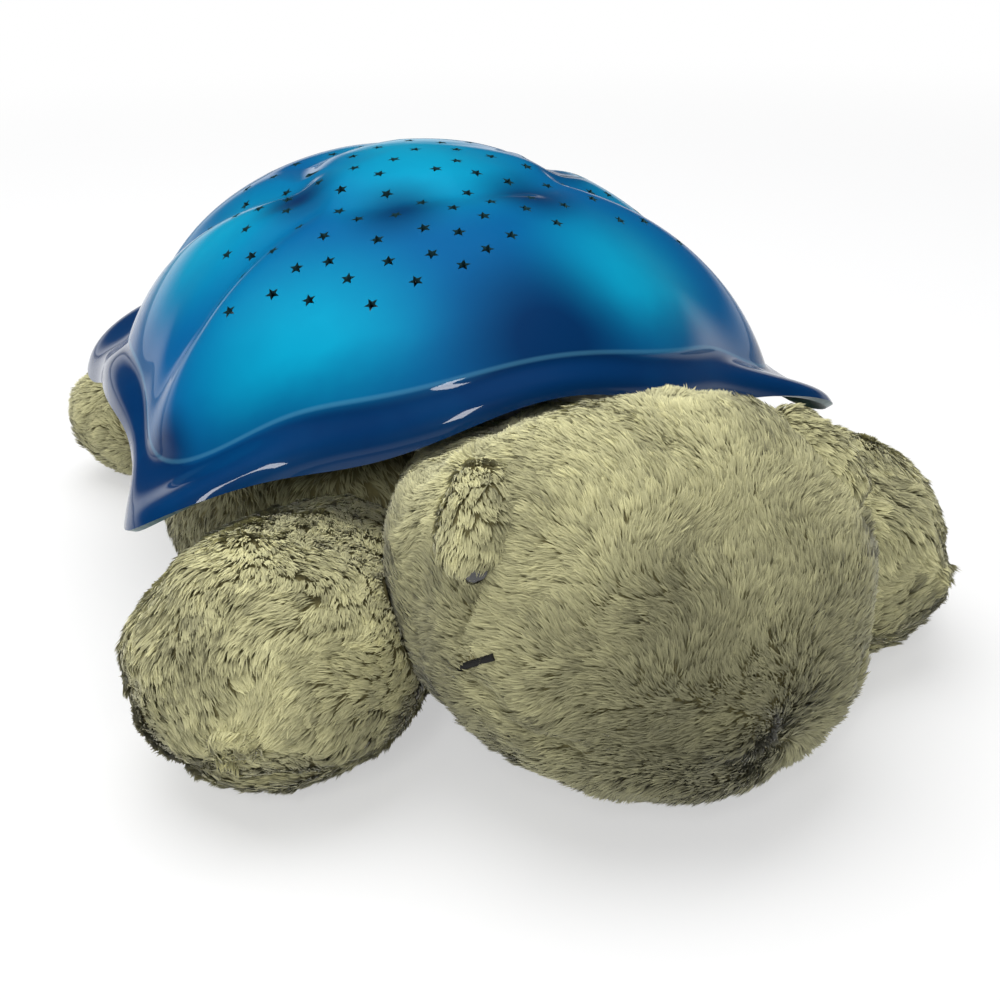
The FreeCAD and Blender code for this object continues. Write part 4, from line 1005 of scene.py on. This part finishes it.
def strand_mesh(name, roots, bends, tips, widths, normals, tone_and_shade):
    """Leaves of two triangles each: a root, two sides and a tip, none of them under the floor."""
    count = len(roots)
    points = np.stack([roots, bends - widths, bends + widths, tips], 1).reshape(-1, 3)
    points[:, 2] = np.maximum(points[:, 2], FLOOR_CLEAR)
    first = np.arange(count)[:, None] * 4
    corners = np.concatenate([first + (0, 1, 2), first + (1, 3, 2)], 1).ravel()
    mesh = bpy.data.meshes.new(name)
    mesh.vertices.add(4 * count)
    mesh.loops.add(6 * count)
    mesh.polygons.add(2 * count)
    mesh.vertices.foreach_set("co", (points * MM).ravel())
    mesh.loops.foreach_set("vertex_index", corners)
    mesh.polygons.foreach_set("loop_start", np.arange(2 * count) * 3)
    mesh.polygons.foreach_set("use_smooth", np.ones(2 * count, bool))
    mesh.update()
    # Colours run from the painted shade at the root to the tip colour, times each strand's tone and
    # painted shade.
    colours = np.ones((count, 4, 4))
    for corner, paleness in enumerate((0, 0.65, 0.65, 1)):
        colours[:, corner, :3] = (SHADED_ROOT * (1 - paleness) + PLUSH_TIP * paleness) * tone_and_shade
    stored = mesh.color_attributes.new("pile_colour", "FLOAT_COLOR", "POINT")
    stored.data.foreach_set("color", colours.ravel())
    mesh.normals_split_custom_set_from_vertices(np.repeat(normals, 4, axis=0).tolist())
    piece = add_object(name, mesh)
    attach(piece, BODY)


print("strands stay", FLOOR_CLEAR, "mm off the floor")

# %% How the strands lie
# The tip colour is the plush's own; the root colour is painted shade, for the shade deep in the
# pile.
PLUSH_TIP = np.array(rgb(203, 199, 152)[:3])
SHADED_ROOT = np.array(rgb(100, 95, 50)[:3])
CLUMP_PITCH = 2.6
CLUMP_PULL = 0.5
STRAND_HALF_WIDTH = 0.25
STRAND_ARCH = 0.09
swirl = Waves(70, 26)
patches = Waves(71, 34)
fine_patches = Waves(72, 9)


def clumped(tips, roots, share, area, chance):
    """Tips drawn towards the tip of the nearest clump's middle strand, and which strand that is."""
    count = len(roots)
    clumps = chance.choice(count, max(8, int(area / CLUMP_PITCH ** 2)), replace=False)
    tree = KDTree(len(clumps))
    for index, clump in enumerate(clumps):
        tree.insert(roots[clump], index)
    tree.balance()
    owner = clumps[[tree.find(root)[1] for root in roots]]
    pull = CLUMP_PULL * chance.uniform(0.6, 1.2, count)[:, None] * share[:, None]
    return tips * (1 - pull) + tips[owner] * pull, owner


def turned(ways, axes, turn):
    """Ways turned about axes square to them."""
    return ways * np.cos(turn)[:, None] + np.cross(axes, ways) * np.sin(turn)[:, None]


def no_shade(points):
    return np.zeros(len(points))


print("clumps about", CLUMP_PITCH, "mm apart, strands", 2 * STRAND_HALF_WIDTH, "mm wide")

# %% Grow a pile


def grow_pile(name, grid, hidden, count, flow, seed, length=5.6, lie=15.0, trims=(),
              painted_shade=no_shade):
    """Pile over a grid: flow gives its way at each root, lie its angle off the surface."""
    chance = np.random.default_rng(seed)
    roots, normals, area = scatter(grid, hidden, count, chance)
    ways = flow(roots)
    ways = unit(ways - normals * (ways * normals).sum(-1, keepdims=True))
    ways = turned(ways, normals, 0.45 * swirl.at(roots) + chance.normal(0, 0.22, count))
    # Painted shade from the shade map, 0 to 1: it darkens the strands and also stands them up a
    # little.
    shade_amount = painted_shade(roots)
    angle = np.radians(lie + 14 * shade_amount + 6 * fine_patches.at(roots) + chance.normal(0, 5, count))
    reach = length * chance.uniform(0.75, 1.1, count)
    for centre, radius, share in trims:
        reach = reach * (1 - (1 - share) * near(roots, centre, radius))
    up_way = ways * np.cos(angle)[:, None] + normals * np.sin(angle)[:, None]
    tips, owner = clumped(roots + up_way * reach[:, None], roots, reach / length, area, chance)
    bends = roots + (tips - roots) * 0.5 + normals * (STRAND_ARCH * reach)[:, None]
    run = unit(tips - roots)
    widths = turned(unit(np.cross(run, normals)), run, chance.normal(0, 0.5, count))
    widths *= np.sign((np.cross(run, widths) * normals).sum(-1, keepdims=True))
    # Each strand's tone varies at random by strand, by clump and in patches, and painted shade
    # darkens it.
    tone_and_shade = (1 + 0.10 * chance.normal(0, 1, count) + 0.12 * chance.normal(0, 1, count)[owner]
             + 0.10 * patches.at(roots)) * (1 - 0.6 * shade_amount)
    # Painted shade: strands on faces that look down are darker.
    tone_and_shade *= 0.80 + 0.20 * np.clip(normals[:, 2] * 1.4 + 0.5, 0, 1)
    lit = unit(normals * 1.2 + np.cross(run, widths) * 0.5)
    strand_mesh(name, roots - normals * 0.5, bends, tips, widths * STRAND_HALF_WIDTH, lit,
                np.clip(tone_and_shade, 0.35, 1.4)[:, None])


# %% Pile on the head
WHORL = np.array([20.0, -206.0, 30.0])


def from_whorl(points):
    return points - WHORL


def muzzle_shade(points):
    """Painted shade round the whorl and on the head's sides; round the whorl the pile also stands
    up.
    """
    side = one_side(points)
    cheek = 1 / (1 + np.exp((side[:, 0] + 47) / 2.5)) / (1 + np.exp((side[:, 2] - 84) / 3))
    return np.clip(near(points, WHORL + (-18, 0, 12), (52, 45, 40)) + 0.45 * cheek, 0, 1)


face_trims = [(middle_of("mouth_stitch"), 4.2, 0.02), (middle_of("eye_right"), 5.5, 0.1),
              (middle_of("eye_left"), 5.5, 0.1)]
for half in (1, 2):
    grow_pile(f"head_pile_{half}", head_grid, head_hidden, 95000, from_whorl, 80 + half,
              trims=face_trims, painted_shade=muzzle_shade)
print("head pile grown")

# %% Pile on the lids, limbs and belly
PILE_COUNTS = {"front": 75000, "rear": 24000, "tail": 6000, "eyelid": 6500}
for index, (name, grid, hidden, heading) in enumerate(limbs + lids):
    kind = name.split("_")[0]
    grow_pile(name + "_pile", grid, hidden, PILE_COUNTS[kind],
              lambda points, way=heading: way + 0 * points, 90 + index,
              length=4.6 if kind == "eyelid" else 5.6)


def down_belly(points):
    """Pile of the belly runs out and down."""
    return points * (0.004, 0.004, 0) - Z_WAY


# The belly's pile gets an even painted shade, as it lies under the shell, and stands up a little.
grow_pile("body_pile", belly_outside, belly_outside[..., 2] < 3, 60000, down_belly, 99,
          lie=14.0, painted_shade=lambda points: np.full(len(points), 0.5))
print("pile grown on", len(limbs) + len(lids) + 2, "forms")

# %% [markdown]
# ## Plush materials
# The strands take their colour from the attribute that was stored with them, and a little sheen.
# The cloth under them is darker, because little light gets down to it.

# %% Plush
plush, shader, place = new_material("plush_strands", Roughness=0.85, Sheen_Weight=0.25,
                                    Sheen_Roughness=0.5)
feed(shader, "Base Color", place.node("ShaderNodeVertexColor", {"layer_name": "pile_colour"}))

backing, shader, place = new_material("plush_backing", Roughness=0.95)
weave = place.noise(420.0, 3.0)
feed(shader, "Base Color", weave.mix(rgb(88, 82, 48), rgb(134, 127, 86)))
feed(shader, "Normal", weave.bump(0.4, 0.0008))

for piece in scene.objects:
    if "_skin" in piece.name:
        piece.data.materials.append(backing)
    elif "_pile" in piece.name:
        piece.data.materials.append(plush)

# %% [markdown]
# ## The belly flap
# Under the turtle a soft flap closes the pocket over the battery bay. It is a thin padded panel of
# plain woven lining with a sewn hem, which hangs from its front edge and closes with hook and loop.

# %% Flap
FLAP_HALF_X, FLAP_HALF_Y, FLAP_HALF_Z = 33.0, 31.0, 1.6
FLAP_MIDDLE = np.array([0, 0, 2.4])
HEM_INSET, HEM_WIDTH, HEM_DEPTH = 4.0, 0.7, 0.35
flap_y = FLAP_HALF_Y * np.sin(np.radians(np.linspace(-90, 90, 70)))
edge_round = np.sqrt(np.clip(1 - (np.abs(flap_y) / FLAP_HALF_Y) ** 10, 0.02, 1))
cosine, sine = oval(5.0)
flap_grid = np.stack(np.broadcast_arrays(
    FLAP_HALF_X * (0.97 + 0.03 * edge_round[:, None]) * cosine, flap_y[:, None],
    FLAP_HALF_Z * edge_round[:, None] * sine), -1)
from_edge = (np.array([FLAP_HALF_X, FLAP_HALF_Y]) - np.abs(flap_grid[..., :2])).min(-1)
hem = HEM_DEPTH * np.exp(-((from_edge - HEM_INSET) / HEM_WIDTH) ** 2)
flap_grid[..., 2] *= 0.75 + 0.25 * np.clip(from_edge / 25, 0, 1) - hem
flap_faces = [*ring_faces(len(flap_y), RING_COLUMNS)]
flap_faces += [face[::-1] for face in end_rows(len(flap_y), RING_COLUMNS)]
flap = new_piece("belly_flap_panel", (FLAP_MIDDLE + flap_grid).reshape(-1, 3), flap_faces,
                 body="flap")
stuffed("belly_flap")
print("flap faces", len(flap.data.polygons))

# %% [markdown]
# ## Finishes of the plain parts
# The parts that keep their CAD shape each get a finish made of noise: moulded plastics have a fine
# grain, plated metal a cloudy tone, boards faint tracks under green resist. One table says what
# each material slot of the record looks like, so every part with that slot gets it.

# %% One recipe for most finishes


def finish(name, low, high, scale, rough, grain=0.0, metal=0.0, stretch=(1, 1, 1), **settings):
    """Two tones of one colour mixed by noise, roughness that varies with it, and a fine bump."""
    made, shader, place = new_material(name, Metallic=metal, **settings)
    place = place.vector("MULTIPLY", place, stretch)
    cloud = place.noise(scale, 4.0)
    feed(shader, "Base Color", cloud.mix(rgb(*low), rgb(*high)))
    feed(shader, "Roughness", cloud * (rough[1] - rough[0]) + rough[0])
    if grain:
        feed(shader, "Normal", place.noise(scale * 4, 2.0).bump(grain, 0.0003))
    return made


FINISHES = {
    "white_plastic": ("white_moulding", (214, 213, 207), (228, 227, 221), 260, (0.42, 0.56), 0.25),
    "dark_plastic": ("dark_moulding", (36, 37, 40), (50, 51, 54), 300, (0.42, 0.60), 0.3),
    "screw_steel": ("zinc_plate", (150, 150, 152), (190, 190, 188), 900, (0.28, 0.45), 0, 1.0),
    "contact_metal": ("nickel_plate", (190, 186, 176), (214, 210, 200), 700, (0.2, 0.34), 0, 1.0),
    "bright_metal": ("metallised", (214, 214, 217), (224, 224, 226), 500, (0.05, 0.12), 0, 1.0),
    "hook_tape": ("hook_and_loop", (78, 74, 58), (106, 101, 82), 1400, (0.85, 0.95), 1.0),
    "wire_skin": ("wire_insulation", (150, 22, 20), (176, 32, 28), 400, (0.4, 0.55), 0.2),
    "button_grey": ("button_moulding", (176, 184, 188), (192, 199, 202), 300, (0.25, 0.34), 0.1),
    "led_blue": ("tinted_blue", (24, 84, 196), (38, 104, 214), 300, (0.14, 0.22)),
    "led_green": ("tinted_green", (28, 156, 74), (44, 176, 92), 300, (0.14, 0.22)),
    "led_amber": ("tinted_amber", (232, 138, 24), (244, 158, 44), 300, (0.14, 0.22)),
}
finishes = {slot: finish(*row) for slot, row in FINISHES.items()}
finishes["eye_black"] = finish("eye_gloss", (9, 9, 9), (16, 15, 14), 200, (0.06, 0.14),
                               Coat_Weight=1.0)
finishes["thread_black"] = finish("stitch_thread", (10, 10, 10), (26, 25, 23), 1500, (0.7, 0.9),
                                  0.8, stretch=(1, 1, 4))
finishes["clear_plastic"] = finish("clear_moulding", (236, 242, 243), (244, 248, 249), 200,
                                   (0.04, 0.1), Transmission_Weight=1.0, IOR=1.49)
print("finishes:", sorted(finishes))

# %% Boards, cells and woven lining
made, shader, place = new_material("solder_mask", Roughness=0.35, Coat_Weight=0.4)
tracks = place.node("ShaderNodeTexBrick", {"offset": 0.37}, {
    "Vector": place, "Scale": 60.0, "Mortar Size": 0.04, "Mortar Smooth": 0.2}, output=1)
tracks = tracks * place.noise(90.0).smooth(0.45, 0.55)
feed(shader, "Base Color", tracks.mix(rgb(16, 84, 46), rgb(48, 124, 74)))
finishes["board_green"] = made

made, shader, place = new_material("cell_wrap", Roughness=0.3, Metallic=0.3)
along = place.node("ShaderNodeSeparateXYZ", {}, {"Vector": place}, output=0)
band = along.smooth(0.0095, 0.0098)
worn = place.noise(200.0, 3.0) * 0.12
feed(shader, "Base Color", (band * 0.88 + worn).mix(rgb(36, 40, 48), rgb(170, 112, 62)))
finishes["cell_wrap"] = made

made, shader, place = new_material("lining_weave", Roughness=0.9, Sheen_Weight=0.2)
threads = [place.node("ShaderNodeTexWave", {"bands_direction": axis}, {
    "Vector": place, "Scale": 260.0, "Distortion": 0.6, "Detail": 1.0}, output=1) for axis in "XY"]
weave = (threads[0] + threads[1]) * 0.5
cloud = weave * 0.7 + place.noise(120.0) * 0.3
feed(shader, "Base Color", cloud.mix(rgb(112, 105, 78), rgb(160, 152, 118)))
feed(shader, "Normal", weave.bump(0.5, 0.0003))
finishes["lining"] = made
flap.data.materials.append(made)

# %% Dress the CAD nodes
finishes.update(shell_paint=inside, plush=backing)
for row in frame["record"]["subparts"]:
    node_mesh = frame["nodes"][row["node"]].data
    node_mesh.materials.clear()
    node_mesh.materials.append(finishes[row["material_slot"]])

# %% [markdown]
# ## Light
# A white studio with a dark ceiling. The broad soft light above is kept out of the gloss, as a
# photographer flags a lamp, so that the paint stays deep, and a tall window in front makes the
# highlight on the shell. The floor is white and keeps the turtle's shadow.

# %% Floor
floor_mesh = bpy.data.meshes.new("floor")
floor_mesh.from_pydata([(-40, -40, 0), (40, -40, 0), (40, 40, 0), (-40, 40, 0)], [], [(0, 1, 2, 3)])
add_object("floor", floor_mesh)
floor_paint, floor_shader, floor_place = new_material(
    "floor_paint", Roughness=0.9, Base_Color=(0.88, 0.88, 0.88, 1))
floor_mesh.materials.append(floor_paint)
tree = floor_paint.node_tree
glow = tree.nodes.new("ShaderNodeEmission")
rays = Flow(tree, tree.nodes.new("ShaderNodeLightPath").outputs["Is Camera Ray"])
away = floor_place.vector("LENGTH", floor_place, output=1).smooth(0.3, 1.3)
lit_floor, bright_floor = Flow(tree, floor_shader.outputs[0]), Flow(tree, glow.outputs[0])
blend = rays.node("ShaderNodeMixShader", {}, {
    0: rays * (0.5 + away * 0.5), 1: lit_floor, 2: bright_floor})
tree.links.new(blend.socket, tree.nodes["Material Output"].inputs[0])
print("floor laid")

# %% World
world = bpy.data.worlds.new("studio")
scene.world = world
world.use_nodes = True
world_tree = world.node_tree
surround = world_tree.nodes["Background"]
surround.inputs["Color"].default_value = (0.97, 0.98, 1.0, 1)
WORLD_STRENGTH = 0.32
path = world_tree.nodes.new("ShaderNodeLightPath")
seen = Flow(world_tree, path.outputs["Is Camera Ray"])
for label in ("Is Glossy Ray", "Is Transmission Ray"):
    seen = seen.math("MAXIMUM", seen, Flow(world_tree, path.outputs[label]))
ways = Flow(world_tree, world_tree.nodes.new("ShaderNodeTexCoord").outputs["Generated"])
height = ways.node("ShaderNodeSeparateXYZ", {}, {"Vector": ways}, output=2)
walls = height.smooth(0.22, 0.02) * 0.98 + 0.02
strength = seen * walls + (1 - seen) * WORLD_STRENGTH
feed(surround, "Strength", strength)
print("the world lights with", WORLD_STRENGTH)


# %% Lamps
def soft_light(name, place, aim, width, height, watts, in_gloss=True):
    """A rectangular lamp at a place, pointing at an aim, both in metres."""
    data = bpy.data.lights.new(name, "AREA")
    data.shape = "RECTANGLE"
    data.size = width
    data.size_y = height
    data.energy = watts
    lamp = add_object(name, data)
    lamp.location = place
    lamp.rotation_mode = "QUATERNION"
    lamp.rotation_quaternion = (Vector(aim) - Vector(place)).to_track_quat("-Z", "Y")
    lamp.visible_glossy = in_gloss


soft_light("ceiling", (-0.15, 0.25, 1.5), (0, 0, 0), 1.6, 1.6, 27.0, in_gloss=False)
soft_light("window", (-0.55, -1.0, 0.75), (0, 0, 0.08), 0.16, 0.5, 5.0)
print("lamps ready")
